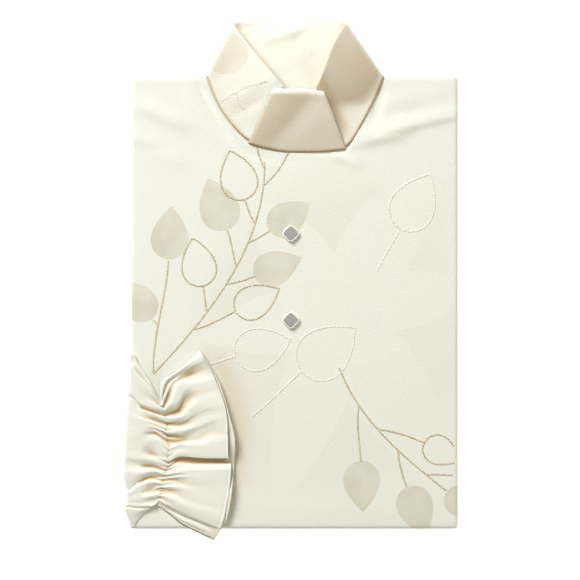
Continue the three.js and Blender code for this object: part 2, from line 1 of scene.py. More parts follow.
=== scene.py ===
# %% [markdown]
# # A folded clergy robe
# The robe lies folded in thirds on a pale table, as a shirt is packed. Its tall soft collar stands up
# at the neck, two square buttons close the chest, and the right sleeve comes round the side so that
# its ruffled cuff lies on the front. Every cloth here is a thin surface: a function of two
# parameters, worked out with numpy on a grid, on the form of the solid that it replaces.

import bmesh
import bpy
import numpy as np
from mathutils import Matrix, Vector


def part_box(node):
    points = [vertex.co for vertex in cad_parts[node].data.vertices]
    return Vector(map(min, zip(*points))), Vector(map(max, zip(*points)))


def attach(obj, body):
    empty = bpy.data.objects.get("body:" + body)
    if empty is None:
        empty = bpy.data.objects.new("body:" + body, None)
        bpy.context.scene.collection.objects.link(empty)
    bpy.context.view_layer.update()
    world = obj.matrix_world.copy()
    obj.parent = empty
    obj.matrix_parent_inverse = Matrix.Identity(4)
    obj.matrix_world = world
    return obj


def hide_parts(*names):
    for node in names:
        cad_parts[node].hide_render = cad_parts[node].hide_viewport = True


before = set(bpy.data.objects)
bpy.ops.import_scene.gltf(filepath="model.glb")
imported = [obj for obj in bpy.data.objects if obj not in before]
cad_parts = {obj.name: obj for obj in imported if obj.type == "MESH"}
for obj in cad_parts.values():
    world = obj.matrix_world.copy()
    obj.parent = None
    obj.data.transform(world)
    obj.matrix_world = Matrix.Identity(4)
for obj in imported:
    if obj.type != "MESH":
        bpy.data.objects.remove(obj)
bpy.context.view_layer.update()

# %% [markdown]
# The robe is drawn in millimetres: x from the centre line of the folded body, y from its shoulder
# fold, falling towards the bottom fold, z from the table. The frame says where that body is.

# %% The garment's own sizes
MM = 0.001
body_low, body_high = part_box("front")
CENTRE = (body_low.x + body_high.x) / 2 / MM
SHOULDER = body_high.y / MM
STACK = body_high.z / MM
WIDTH = (body_high.x - body_low.x) / MM
LENGTH = (body_high.y - body_low.y) / MM
ROLL = STACK / 6  # radius of the side and shoulder folds
HEM = STACK / 2  # radius of the bottom fold
FLAT = WIDTH / 2 - ROLL  # the top is flat this far from its centre line
RUN = LENGTH - HEM - ROLL  # flat run between the shoulder roll and the bottom fold


def placed(x, y, z):
    """Garment millimetres to the frame's metres: each coordinate is shifted, then scaled."""
    return np.stack(np.broadcast_arrays(x + CENTRE, y + SHOULDER, z), -1) * MM


def table(columns, *rows):
    """Rows of numbers under named columns, as a dictionary of arrays."""
    return dict(zip(columns.split(), np.array(rows, float).T))


print(f"folded body {WIDTH:.0f} x {LENGTH:.0f} mm, {STACK:.0f} mm high")

# %% [markdown]
# One curve serves every cloth. It goes through given rows with a cubic on each span. At a row the
# slope is the harmonic mean of the slopes on both sides, or zero where they differ in sign, so a
# ridge stays exactly as high as its row says. A crease row keeps the slopes of its own two spans.


# %% A soft curve through rows
def soft(knots, values, at, crease=()):
    """Cubic Hermite curve through the values at the knots, read at the given places."""
    knots, values, at = (np.asarray(a, float) for a in (knots, values, at))
    wide = (-1,) + (1,) * (values.ndim - 1)
    slope = np.diff(values, axis=0) / np.diff(knots).reshape(wide)
    before, after = slope[:-1], slope[1:]
    agree = before * after > 0
    mean = np.where(agree, 2 * before * after / np.where(agree, before + after, 1), 0)
    arrive = np.concatenate([slope[:1], mean, slope[-1:]])
    leave = arrive.copy()
    for row in crease:
        arrive[row], leave[row] = slope[max(row - 1, 0)], slope[min(row, len(slope) - 1)]
    i = np.clip(np.searchsorted(knots, at, "right") - 1, 0, len(slope) - 1)
    span = np.diff(knots)[i]
    t = ((at - knots[i]) / span).reshape(wide)
    span = span.reshape(wide)
    return (
        (2 * t**3 - 3 * t**2 + 1) * values[i]
        + (t**3 - 2 * t**2 + t) * span * leave[i]
        + (3 * t**2 - 2 * t**3) * values[i + 1]
        + (t**3 - t**2) * span * arrive[i + 1]
    )


def bell(distance, width):
    """Falls softly from 1 to 0: exp(-(distance / width) squared)."""
    return np.exp(-((distance / width) ** 2))


def ramp(low, high, value):
    """Rises softly from 0 at low to 1 at high."""
    t = np.clip((value - low) / (high - low), 0, 1)
    return t * t * (3 - 2 * t)


# %% [markdown]
# A grid of points becomes a mesh with one quad for each cell. The UV map holds the place of each
# point on the flat cloth, in metres, so that weave and pattern follow the cloth round its folds.
# Solidify then gives the cloth its thickness on its inner side.


# %% Cloth from a grid of points
def grid_quads(rows, columns, around=False):
    """Corner numbers of every cell of a grid, and of the cells that close it round."""
    i = np.arange(rows - 1)[:, None] * columns
    j = np.arange(columns if around else columns - 1)[None, :]
    k = (j + 1) % columns
    return np.stack(np.broadcast_arrays(i + j, i + k, i + columns + k, i + columns + j), -1).reshape(-1, 4)


def mesh_piece(name, points, faces, finish, uv=None, fields=None):
    """An object of the given points and faces, smooth, riding on the garment's one body."""
    mesh = bpy.data.meshes.new(name)
    mesh.from_pydata(points.reshape(-1, 3), [], faces)
    mesh.polygons.foreach_set("use_smooth", np.ones(len(faces), bool))
    if uv is not None:
        corners = np.empty(len(mesh.loops), np.int32)
        mesh.loops.foreach_get("vertex_index", corners)
        flat = uv.reshape(-1, 2)[corners]
        mesh.uv_layers.new(name="cloth").data.foreach_set("uv", flat.astype(np.float32).ravel())
    for field, values in (fields or {}).items():
        attribute = mesh.attributes.new(field, "FLOAT", "POINT")
        attribute.data.foreach_set("value", values.astype(np.float32).ravel())
    mesh.materials.append(finish)
    mesh.update()
    piece = bpy.data.objects.new(name, mesh)
    bpy.context.scene.collection.objects.link(piece)
    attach(piece, "root")
    print(f"{name}: {len(faces)} faces")
    return piece


def cloth_piece(name, points, finish, uv, thickness=0.6, around=False, turned=False, fields=None):
    """A thin shell on a grid of points, which is its outer face."""
    faces = grid_quads(*points.shape[:2], around)[:, :: -1 if turned else 1]
    piece = mesh_piece(name, points, faces.tolist(), finish, uv, fields)
    wall = piece.modifiers.new("thickness", "SOLIDIFY")
    wall.thickness, wall.offset = thickness * MM, -1
    wall.use_even_offset = False
    return piece


# %% [markdown]
# ## Finishes
# A finish is a node material. `Finish.node` adds any node, with its settings and inputs, and
# `Shade` wraps what comes out, so that shader maths reads as plain Python.


# %% Shader maths in plain Python
def maths(operation, swapped=False):
    """A method that adds one Math node, with its own number first, or second where it is swapped."""

    def add_node(self, other=None):
        """What the node gives out, as a Shade."""
        first, second = (other, self) if swapped else (self, other)
        return self.finish.node("Math", {"operation": operation}, {0: first, 1: second})

    return add_node


class Shade:
    """A number that varies over a surface, for use in expressions."""

    def __init__(self, finish, socket):
        """The output socket of a node, in the finish that it belongs to."""
        self.finish, self.socket = finish, socket

    __add__ = __radd__ = maths("ADD")
    __mul__ = __rmul__ = maths("MULTIPLY")
    __sub__, __rsub__ = maths("SUBTRACT"), maths("SUBTRACT", swapped=True)
    __pow__, __abs__ = maths("POWER"), maths("ABSOLUTE")
    most, sine = maths("MAXIMUM"), maths("SINE")

    def step(self, low, high):
        """0 below low and 1 above high, softly between."""
        inputs = {"Value": self, "From Min": low, "From Max": high}
        return self.finish.node("MapRange", {"interpolation_type": "SMOOTHSTEP"}, inputs)


class Finish:
    """A node material being made."""

    def __init__(self, name):
        """An empty material under its own name."""
        self.material = bpy.data.materials.new(name)
        self.material.use_nodes = True
        self.tree = self.material.node_tree
        self.tree.nodes.clear()

    def node(self, kind, settings=None, inputs=None, output=0):
        """Add a node of this kind: its settings first, then its inputs, linked or set."""
        made = self.tree.nodes.new("ShaderNode" + kind)
        for setting, value in (settings or {}).items():
            setattr(made, setting, value)
        for key, value in (inputs or {}).items():
            if isinstance(value, Shade):
                self.tree.links.new(value.socket, made.inputs[key])
            elif value is not None:
                made.inputs[key].default_value = value
        return Shade(self, made.outputs[output]) if len(made.outputs) else None

    def mix(self, mask, under, over):
        """One colour where the mask is 0, the other where it is 1."""
        colours = [(*c, 1) if isinstance(c, tuple) else c for c in (under, over)]
        inputs = {"Factor": mask, 6: colours[0], 7: colours[1]}
        return self.node("Mix", {"data_type": "RGBA"}, inputs, output=2)

    def place(self):
        """The point on the flat cloth, in millimetres."""
        flat = self.node("UVMap", {"uv_map": "cloth"})
        return self.node("VectorMath", {"operation": "SCALE"}, {0: flat, "Scale": 1000.0})

    def parts(self, vector):
        """The three numbers of a vector."""
        split = self.node("SeparateXYZ", inputs={0: vector})
        return [Shade(self, socket) for socket in split.socket.node.outputs]

    def field(self, name):
        """A number that the mesh carries at each of its points."""
        return self.node("Attribute", {"attribute_name": name}, output=2)

    def surface(self, **sockets):
        """The finished material: one Principled shader with the given sockets."""
        names = {key.replace("_", " "): value for key, value in sockets.items()}
        shader = self.node("BsdfPrincipled", inputs=names)
        self.node("OutputMaterial", inputs={"Surface": shader})
        return self.material


# %% [markdown]
# The cloth is a jacquard: one sateen ground and figures woven into it in a slightly darker or
# lighter yarn. Each leaf is a mask. A Mapping node turns the flat cloth into the leaf's own frame,
# with its stalk at 0 and its tip at 1, and the mask is how far a point lies inside the outline.
#
# The leaves sit on branches. A row gives the branch's parent, or -1 and one of the roots; where it
# starts, as a share of its parent; its turn from the parent in degrees and its length in mm; its
# bend in degrees for each mm, at its start and its end; and the leaf at its tip, if it has one.

# %% Branches of the woven pattern
BARE, WOVEN_LEAF, GOLD_LEAF, WHITE_LEAF = range(4)  # what `kind` says
BRANCHES = table(
    "parent share turn length bend0 bend1 leaf width kind",
    (-1, 0, 47, 222, 0.02, 0.38, 0, 0, 0),
    (-1, 1, 92, 104, -0.45, 0.35, 48, 34, 1),
    (-1, 2, -70, 150, 0.42, 0.0, 40, 27, 1),
    (0, 0.24, -38, 42, 0.9, -0.2, 44, 30, 2),
    (0, 0.33, 46, 24, -0.5, 0.8, 44, 31, 2),
    (0, 0.47, -52, 26, 1.0, 0.2, 46, 32, 1),
    (0, 0.55, 44, 34, -0.6, 0.9, 50, 36, 1),
    (0, 0.66, -46, 22, 0.8, 0.4, 44, 31, 1),
    (0, 0.74, 48, 24, -0.8, -0.3, 46, 33, 2),
    (0, 0.90, -44, 40, 0.7, 0.9, 0, 0, 0),
    (0, 0.97, 30, 22, -0.8, -1.2, 0, 0, 0),
    (1, 0.42, 50, 8, -0.5, 0.4, 44, 31, 1),
    (2, 0.26, -44, 50, 0.9, -0.4, 46, 33, 1),
    (2, 0.44, 40, 44, -0.3, -0.5, 36, 26, 2),
    (2, 0.62, -46, 34, 0.9, 0.4, 46, 33, 1),
    (2, 0.84, 42, 26, -0.6, 0.2, 0, 0, 0),
    (-1, 3, 36, 60, 0.5, -0.4, 62, 46, 3),
    (-1, 4, 66, 44, -0.5, 0.3, 56, 40, 3),
    (-1, 5, 8, 36, 0.8, -0.3, 52, 38, 3),
)
ROOTS = ((-127, -268), (-127, -268), (40, -262), (-38, -306), (74, -176), (-88, -262))


def stem_path(x, y, turn, length, bend0, bend1):
    """Heading is the integral of a bend that changes evenly; the path is the integral of that."""
    step = 0.25
    along = np.arange(0, length, step)
    heading = np.radians(turn + bend0 * along + (bend1 - bend0) * along**2 / (2 * length))
    x, y = x + np.cumsum(np.cos(heading)) * step, y + np.cumsum(np.sin(heading)) * step
    return x, y, np.degrees(heading)


def grow():
    """Each branch starts at a root, or at a share of its parent's length, and may end in a leaf."""
    paths, leaves = [], []
    for parent, share, turn, length, bend0, bend1, leaf, width, kind in zip(*BRANCHES.values()):
        if parent < 0:
            x, y = ROOTS[int(share)]
        else:
            px, py, heading = paths[int(parent)]
            at = int(share * (len(px) - 1))
            x, y, turn = px[at], py[at], heading[at] + turn
        path = stem_path(x, y, turn, length, bend0, bend1)
        paths.append(path)
        if leaf:
            leaves.append((*(line[-1] for line in path), leaf, width, kind))
    return paths, leaves


stems, leaves = grow()
WOVEN = table("x y turn length width kind", *[leaf for leaf in leaves if leaf[-1] == WOVEN_LEAF])
print(len(stems), "branches,", len(leaves), "leaves")
PALE_PETALS = table(
    "x y turn length width",
    (46, -204, 60, 152, 66),
    (52, -210, 10, 118, 52),
    (42, -214, -58, 196, 72),
    (32, -204, 126, 114, 60),
    (32, -212, 192, 120, 56),
    (38, -220, -108, 178, 62),
    (41, -228, 90, 42, 42),
)
STALK, TIP, SWELL = 0.55, 0.95, 1.34


def half_leaf(t):
    """Half width of a leaf of length and width 1, at a share t of its length: t to the power STALK
    times (1 - t) to the power TIP, which is round at the stalk and pointed at the tip."""
    return SWELL * t**STALK * (1 - t) ** TIP


def leaf_masks(finish, place, leaves, soften):
    """1 inside any of the leaves: the mask is how far within the half width the point lies."""
    covered = None
    for x, y, turn, length, width, *_ in zip(*leaves.values()):
        where = {"Location": (x, y, 0), "Rotation": (0, 0, np.radians(turn)), "Scale": (length, width, 1)}
        own = finish.node("Mapping", {"vector_type": "TEXTURE"}, {0: place, **where})
        along, across, _ = finish.parts(own)
        half = along.most(0.0) ** STALK * (1 - along).most(0.0) ** TIP * SWELL
        inside = (half - abs(across)).step(-soften, soften)
        covered = inside if covered is None else covered.most(inside)
    return covered


# %% [markdown]
# The weave is a fine slanting twill. It is too small to model, so it is a bump: ribs across the
# diagonal, broken up by noise that is stretched along them. Both yarns shine a little, the sateen
# more than the figures, and a thin fuzz gives a sheen at grazing angles.


# %% The cloth finish
IVORY, BEIGE, TAN = (0.83, 0.85, 0.77), (0.80, 0.80, 0.71), (0.615, 0.585, 0.455)
COLLAR_CREAM, CUFF_CREAM = (0.917, 0.912, 0.811), (0.85, 0.857, 0.77)
# The taupe is the collar's darker woven figure and also painted shade on it; the amber is painted shade in
# folds, at seams and beside the cuff.
TAUPE_FIGURE_AND_SHADE, PAINTED_SHADE_AMBER = (0.585, 0.495, 0.36), (0.52, 0.33, 0.11)
TWILL_TURN, RIB = -52, 1.8  # degrees, and mm from rib to rib
DISC_MIDDLE, DISC_SIZE = (30, -236, 0), (128, 155, 1)  # darker ground round the large flower


def shade_of(colour, share):
    """The colour made lighter or darker."""
    return tuple(share * part for part in colour)


def noise(finish, place, scale, detail=2.0, **inputs):
    """Soft noise, with this many cells to the unit and this many finer layers in it."""
    return finish.node("TexNoise", inputs={0: place, "Scale": scale, "Detail": detail, **inputs})


def weave(finish, place):
    """Height of the twill: a sine across the diagonal, mixed with noise stretched along it."""
    turn = {"Rotation": (0, 0, np.radians(TWILL_TURN)), "Scale": (1, 0.7, 1)}
    turned = finish.node("Mapping", inputs={0: place, **turn})
    yarn = noise(finish, turned, 0.8, 3.0)
    return (finish.parts(turned)[0] * (2 * np.pi / RIB) + yarn * 7).sine() * 0.1 + yarn * 1.6


def cloth_finish(name, ground, figures=False, folds=(), nap=1.0):
    """Sateen of one ground colour with woven figures, and where asked a taupe that is partly woven
    figure and partly painted shade, and amber painted shade in folds.
    """
    finish = Finish(name)
    place = finish.place()
    ribs = weave(finish, place)
    patches, grain = noise(finish, place, 0.035), noise(finish, place, 1.1)
    colour = finish.mix(patches.step(0.3, 0.75), shade_of(ground, 0.985), ground)
    rough = 0.52 + grain * 0.1
    if figures:
        wobble = (ribs - 0.5) * 0.012
        where = {"Location": DISC_MIDDLE, "Scale": DISC_SIZE}
        x, y, _ = finish.parts(finish.node("Mapping", {"vector_type": "TEXTURE"}, {0: place, **where}))
        colour = finish.mix((1 - (x * x + y * y)).step(-0.1, 0.5), colour, BEIGE)
        petals = leaf_masks(finish, place, PALE_PETALS, 0.012)
        colour = finish.mix(petals, colour, IVORY)
        tan = (leaf_masks(finish, place, WOVEN, 0.03) + wobble).step(0.45, 0.55)
        paler = tuple((c + d) / 2 for c, d in zip(TAN, BEIGE))
        colour = finish.mix(tan, colour, finish.mix(patches.step(0.3, 0.7), TAN, paler))
        rough = rough + tan * 0.08 - petals * 0.05
    speckle = (grain * 0.6 + ribs * 0.3).step(0.25, 0.75) * 0.3
    colour = finish.mix(speckle, colour, shade_of(ground, 0.8))
    # Painted shade: fields of the mesh darken the colour towards taupe and amber where shade falls.
    if "figure_and_shade" in folds:
        colour = finish.mix(finish.field("figure_and_shade"), colour, TAUPE_FIGURE_AND_SHADE)
    if "depth" in folds:
        colour = finish.mix(finish.field("depth") * 0.9, colour, PAINTED_SHADE_AMBER)
    bump = finish.node("Bump", inputs={"Strength": 0.75, "Distance": 0.00025 * nap, "Height": ribs})
    return finish.surface(
        Base_Color=colour, Roughness=rough, Normal=bump, Sheen_Weight=0.15, Sheen_Roughness=0.4,
        Specular_IOR_Level=0.35,
    )


# The body, the collar and the cuff take painted shade from the fields of their meshes.
body_finish = cloth_finish("ivory jacquard", IVORY, figures=True, folds=("depth",))
plain_finish = cloth_finish("ivory sateen", IVORY)
collar_finish = cloth_finish("collar sateen", COLLAR_CREAM, folds=("figure_and_shade", "depth"), nap=1.25)
cuff_finish = cloth_finish("cuff sateen", CUFF_CREAM, folds=("depth",))
print("finishes:", [m.name for m in bpy.data.materials])

# %% [markdown]
# ## The front
# The front rolls round the side folds and the shoulder fold, runs down the chest, turns round the
# whole stack at the bottom fold and comes back underneath. Its neck edge is the first row of the
# grid, so nothing has to be cut.

# %% The neckline
NECKLINE = table(
    "x y",
    (-80, 1), (-74.5, -12.6), (-65.3, -32.4), (-53.6, -48.6), (-41.9, -60), (-29.3, -64.8),
    (-4, -68.2), (23, -67.4), (45.5, -65.2), (57.2, -46.8), (69.8, -21.6), (81.5, 1),
)
SEAM = 2.5  # the front's edge runs this far inside the collar's seam
print(len(NECKLINE["x"]), "places along the neckline")


def off_the_neckline(x, y):
    """Distance to the nearest straight piece between two points of the neckline."""
    a = np.stack([NECKLINE["x"], NECKLINE["y"]], -1)
    step = a[1:] - a[:-1]
    point = np.stack([x, y], -1)[..., None, :] - a[:-1]
    share = np.clip((point * step).sum(-1) / (step**2).sum(-1), 0, 1)
    return np.linalg.norm(point - share[..., None] * step, axis=-1).min(-1)


# %% [markdown]
# The largest creases are listed one by one: each runs straight from one point to another and fades
# out at its ends. Across it stands half a bell on its left and half a bell on its right, of their
# own widths, so a fold may fall softly to one side and steeply to the other. All are in mm, and a
# rise under zero is a trough.

# %% Creases of the front
CREASES = table(
    "x0 y0 x1 y1 left right rise",
    (53, -61, 104, -48, 11, 5, 2.1),
    (86, -49, 152, -34, 9, 4, 1.8),
    (68, -58, 100, -56, 3, 5, 0.7),
    (32, -71, 60, -79, 6, 5, 1.3),
    (50, -78, 74, -104, 7, 9, 0.7),
    (80, -8, 71, -40, 5, 4, -1.5),
    (86, -20, 100, -38, 5, 6, 0.5),
    (138, -14, 96, -22, 6, 8, 0.5),
    (84, -34, 112, -32, 6, 6, -0.6),
    (-142, -26, -96, -46, 9, 6, 1.4),
    (-148, -55, -124, -62, 7, 5, 0.8),
    (-132, -72, -96, -76, 10, 8, 0.5),
    (-86, -6, -60, -52, 5, 5, -1.2),
    (-100, -14, -72, -60, 6, 6, 0.6),
    (-146, -300, -100, -392, 24, 24, -0.5),
    (60, -300, 140, -250, 30, 30, 0.4),
    (-60, -390, 100, -396, 12, 12, 0.3),
)


def creases_at(creases, x, y):
    """Sum of the creases at a point, in mm: a bell of the distance off each, times its two ends."""
    height = 0 * x
    for x0, y0, x1, y1, left, right, rise in zip(*creases.values()):
        run, climb = x1 - x0, y1 - y0
        length = np.hypot(run, climb)
        share = ((x - x0) * run + (y - y0) * climb) / length**2
        off = ((y - y0) * run - (x - x0) * climb) / length
        ends = ramp(-0.25, 0.3, share) * ramp(1.25, 0.7, share)
        height = height + rise * bell(off, np.where(off > 0, left, right)) * ends
    return height


def relief(x, y):
    """Height over the flat front, in mm: two slow waves, the creases, a ridge along the collar's
    seam, and a trough beside it on the left."""
    waves = 0.18 * np.sin(x / 31 + y / 57) + 0.14 * np.sin(y / 23 - x / 71 + 1)
    off = off_the_neckline(x, y)
    ridge = (0.6 - 0.5 * ramp(0, 50, x)) * bell(off - 1.9, 1.1)
    trough = 0.5 * bell(off - 8, 4) * ramp(20, -40, x)
    return waves + creases_at(CREASES, x, y) + ridge - trough


CRISP = 5  # power of the bottom fold's superellipse


def front_surface(s, p):
    """Point of the cloth s mm across from its centre line and p mm along from the shoulder roll.
    Past the flat part it goes round a roll, whose two directions meet in a quarter dome. Past the
    flat run it turns half way about the bottom fold, on a superellipse whose high power keeps the
    pressed edge crisp, and comes back underneath."""
    side, over = np.maximum(np.abs(s) - FLAT, 0), np.maximum(-p, 0)
    rolled = np.maximum(side, over)
    wide = np.where(side >= over, over / np.maximum(side, 1e-9), 2 - side / np.maximum(over, 1e-9))
    turn = np.pi / 4 * wide
    out, drop = ROLL * np.sin(rolled / ROLL), ROLL * (1 - np.cos(rolled / ROLL))
    x = np.where(side > 0, np.sign(s) * (FLAT + out * np.cos(turn)), s)
    y = -ROLL - p
    angle = np.clip((p - RUN) / HEM, 0, np.pi)
    under = np.maximum(p - RUN - np.pi * HEM, 0)
    lift = relief(x, y) * ramp(2 * ROLL, 0, drop) * ramp(RUN + 6, RUN - 10, p)
    cos, sin = np.cos(angle), np.sin(angle)
    radius = (HEM - drop + lift) * (np.abs(cos) ** CRISP + sin**CRISP) ** (-1 / CRISP)
    y = np.where(p > RUN, -ROLL - RUN - radius * sin + under, y)
    y = np.where(p < 0, -ROLL + out * np.sin(turn), y)
    z = np.where(p > RUN, HEM + radius * cos, STACK - drop + lift)
    return x, y, z


# %% [markdown]
# The grid is made of runs with their own spacing. The rows of the yoke fan in from the neck edge,
# and from there on every row is straight across. Beside the cuff's hem and by its top, a painted
# shadow makes the cloth darker and warmer.

# %% The front's grid
HEM_CENTRE, HEM_RADIUS = (-206.8, -328), 153.8  # circle along the hem of the ruffle
YOKE, YOKE_ROWS = 130, 72  # mm down from the shoulder roll
NECK_DIP = 1.2  # the neck edge goes this far under the collar
UNDERSIDE_END = 12  # the cloth ends this far short of the shoulder fold underneath


def painted_cuff_shadow(x, y):
    """Painted shadow beside the cuff: a bell of the distance to the ruffle's hem, and one by the cuff's
    top.
    """
    beyond = np.hypot(x - HEM_CENTRE[0], y - HEM_CENTRE[1]) - HEM_RADIUS
    by_hem = bell(beyond - 1, 12) * ramp(-236, -262, y) * ramp(-430, -404, y)
    return 0.32 * by_hem + 0.2 * bell(x + 127, 12) * bell(y + 272, 12)


def runs(*stops):
    """Evenly spaced places from each stop to the next, with the given number of steps."""
    parts = [np.linspace(a, b, n + 1)[1:] for (a, _), (b, n) in zip(stops, stops[1:])]
    return np.concatenate([[stops[0][0]], *parts])


def make_front():
    """Rows follow the cloth from the neck edge, or over the shoulder fold where there is no neck.
    The neck edge dips under the collar."""
    wrap, half_turn = np.pi * ROLL, RUN + np.pi * HEM
    s = runs((-FLAT - wrap, 0), (-FLAT, 8), (FLAT, 150), (FLAT + wrap, 8))
    hole = -soft(NECKLINE["x"], NECKLINE["y"], np.clip(s, NECKLINE["x"][0], NECKLINE["x"][-1]))
    inside = ramp(83, 79, np.abs(s - 0.7))
    first = (hole - ROLL - SEAM) * inside - wrap * (1 - inside)
    yoke = first + (YOKE - first) * np.linspace(0, 1, YOKE_ROWS)[:, None]
    down = runs((YOKE, 0), (RUN, 99), (half_turn, 32), (half_turn + RUN - UNDERSIDE_END, 49))[1:, None]
    p = np.concatenate([yoke, np.broadcast_to(down, (len(down), len(s)))])
    s = np.broadcast_to(s, p.shape)
    x, y, z = front_surface(s, p)
    z = z - NECK_DIP * ramp(8, 0, p - p[:1]) * inside
    # The painted shadow beside the cuff lies on the top of the front only.
    return placed(x, y, z), np.stack([s, -ROLL - p], -1) * MM, {"depth": painted_cuff_shadow(x, y) * (p < RUN)}


points, uv, fields = make_front()
front = cloth_piece("front_cloth", points, body_finish, uv, 0.9, turned=True, fields=fields)
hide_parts("front")
print("front top at", round(float(points[..., 2].max()) / MM, 2), "mm")

# %% [markdown]
# ## The folded layers
# The back, the skirt and the folded-in sleeves lie inside the front, and only their edges can be
# seen from the side. They are one closed form: an outline with rounded corners, drawn in at every
# fold between two layers. Each layer wanders a little in and out, as folded cloth does.


# %% Layers folded inside the front
COUNT, SQUARENESS = 360, 64  # points round the outline, and the power of its superellipse
ROOM_TOP, ROOM_END = -246, -396.5  # the sleeve lies between these, in y, beside the layers


def superellipse(angle, power):
    """Reach in each direction: (|cos| to the power + |sin| to the power) to -1 / power."""
    return (np.abs(np.cos(angle)) ** power + np.abs(np.sin(angle)) ** power) ** (-1 / power)


def make_layers(name, floor, heights, half_wide, low, high, sleeve_room=0):
    """Profile of half circles, one for each layer, carried round the outline; both ends of the
    profile run in to the middle, where they close. On the left the outline gives the sleeve room,
    above the first layer."""
    wave = np.linspace(0, 2 * np.pi, COUNT, endpoint=False)
    reach, half_long, middle = superellipse(wave, SQUARENESS), (high - low) / 2, (low + high) / 2
    x, y = half_wide * reach * np.cos(wave), half_long * reach * np.sin(wave)
    beside = ramp(ROOM_TOP + 3, ROOM_TOP - 3, middle + y) * ramp(ROOM_END - 2.5, ROOM_END + 2.5, middle + y)
    room = sleeve_room * beside * (x < 0)
    rings, z = [(0, 0 * wave, floor), (0.75, 0 * wave, floor)], floor
    for layer, height in enumerate(heights):
        slow, quick = np.sin(wave * (5 + 2 * layer) + 1.7 * layer), np.sin(wave * (13 - layer))
        wander = 0.9 + 0.7 * slow + 0.35 * quick
        for turn in np.radians(np.arange(-90, 91, 30)):
            inset, level = wander + height / 2 * (1 - np.cos(turn)), z + height / 2 * (1 + np.sin(turn))
            rings.append((1, inset, level))
        z += height
    rings += [(0.75, 0 * wave, z), (0, 0 * wave, z)]
    rows = []
    for share, inset, level in rings:
        across = 1 - (inset + room * (share == 1) * (level > floor + heights[0])) / half_wide
        along = 1 - inset / half_long
        rows.append(placed(x * across * share, middle + y * along * share, level))
    points = np.array(rows)
    faces = grid_quads(*points.shape[:2], around=True).tolist()
    piece = mesh_piece(name, points, faces, plain_finish, points[..., :2])
    close_up(piece)
    return piece


def close_up(piece):
    """Merge the points that lie on each other, so poles and seams are closed."""
    work = bmesh.new()
    work.from_mesh(piece.data)
    bmesh.ops.remove_doubles(work, verts=work.verts, dist=1e-7)
    bmesh.ops.dissolve_degenerate(work, edges=work.edges, dist=1e-8)
    work.to_mesh(piece.data)
    work.free()


BOTTOM = -RUN - ROLL  # where the bottom fold's roll begins
lower = make_layers("folded_back", 0.05, (2.9, 2.9), FLAT + ROLL - 1, BOTTOM + 1, -1.8)
middle = make_layers(
    "folded_skirt", 5.95, (2.0, 2.0, 1.9), FLAT + ROLL - 1.6, BOTTOM - 6.8, -2.4, sleeve_room=4.5
)
upper = make_layers("folded_sleeves", 12.95, (2.0, 1.9), FLAT - 1.5, BOTTOM - 5, -4.5)
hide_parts("folded_layers")

# %% [markdown]
# ## The collar
# The collar is a deep stand of two layers with interfacing between them. Worn, it stands; packed,
# it leans back over the shoulder fold and lies down on itself at two sharp folds. Every row of the
# table is one place round it, in mm: where its seam is (n) and its rim (r), and how high both lie
# over the front. A curve through the rows is carried from the seam to the rim.

# %% The stand
STAND = table(
    "nx ny rx ry nz rz knee bend belly",
    (-41, -58, -9.5, -10, 0.8, 11.5, 0, 1, -0.5),
    (-46, -54.5, -17, -2, 0.8, 12.5, 0, 1, -0.3),
    (-56, -44.5, -28, 11, 0.8, 10.5, 0, 0.9, 0.4),
    (-66.5, -30, -39, 25, 0.8, 6.5, 0, 0.9, 0.5),
    (-74, -14, -48.5, 38, 0.8, 3.4, 0, 0.9, 0.5),
    (-78, -3, -54, 45.5, 0.8, 1.6, 0, 1, 0.8),
    (-79.3, -0.6, -56, 48.0, 0.0, -1.6, 0, 1, 0.5),
    (-74, -5, -50, 48.6, -1.1, -4.8, 0, 2.4, 0),
    (-52, -16, -34, 48.8, -1.1, -6.2, 0, 2.4, 0),
    (0, -22, -3, 48.9, -1.1, -7.0, 0, 2.4, 0),
    (52, -16, 28, 48.8, -1.1, -6.2, 0, 2.4, 0),
    (75, -5, 43.5, 48.6, -1.1, -4.8, 0, 2.4, 0),
    (80.4, -0.6, 47.3, 48.0, 0.0, -1.6, 0, 0.7, 0.6),
    (79.6, -3, 46, 45.5, 0.8, 5.0, 0, 0.6, 1.2),
    (75, -14, 40, 36, 0.8, 14.5, 0.03, 0.75, 0.6),
    (68, -29, 33.5, 23, 0.8, 17.5, 0.10, 0.75, 0),
    (59, -46, 28, 8, 0.8, 17.0, 0.33, 0.75, 0),
    (50, -60, 23, -5, 0.8, 15.6, 0.52, 0.85, 0),
    (46, -63.5, 19, -12, 0.8, 13.5, 0.6, 1, 0),
)
STAND_CREASES = table(
    "x0 y0 x1 y1 left right rise",
    (-64, -26, -26, -4, 6, 6, 0.6),
    (-72, -8, -48, 20, 7, 7, -0.6),
    (-58, -38, -30, -22, 5, 5, -0.6),
    (48, 34, 74, 4, 6, 4, 0.7),
)
BACK_CREASES = table(
    "x0 y0 x1 y1 left right rise",
    (12, 47, -8, 38, 6, 4, 1.3),
    (0, 42, -34, 31, 6, 4, 1.2),
    (-49, 42, -22, 47, 3, 3, -0.8),
    (-22, 47, 14, 49, 3, 3, -0.6),
    (6, 14, 24, -4, 10, 10, -0.5),
    (8, 34, 16, 20, 6, 4, 0.6),
    (-36, 20, -10, 4, 9, 9, 0.5),
)
STAND_HEIGHT, FLAP_HEIGHT = 62, 56  # from the seam to the rim, along the cloth
KNEE = 0.22  # how soft a knee is, as a share of its height
WING_LEAF = (-42, 16, 168, 55, 38)  # x, y, turn, length and width of the leaf on the left wing


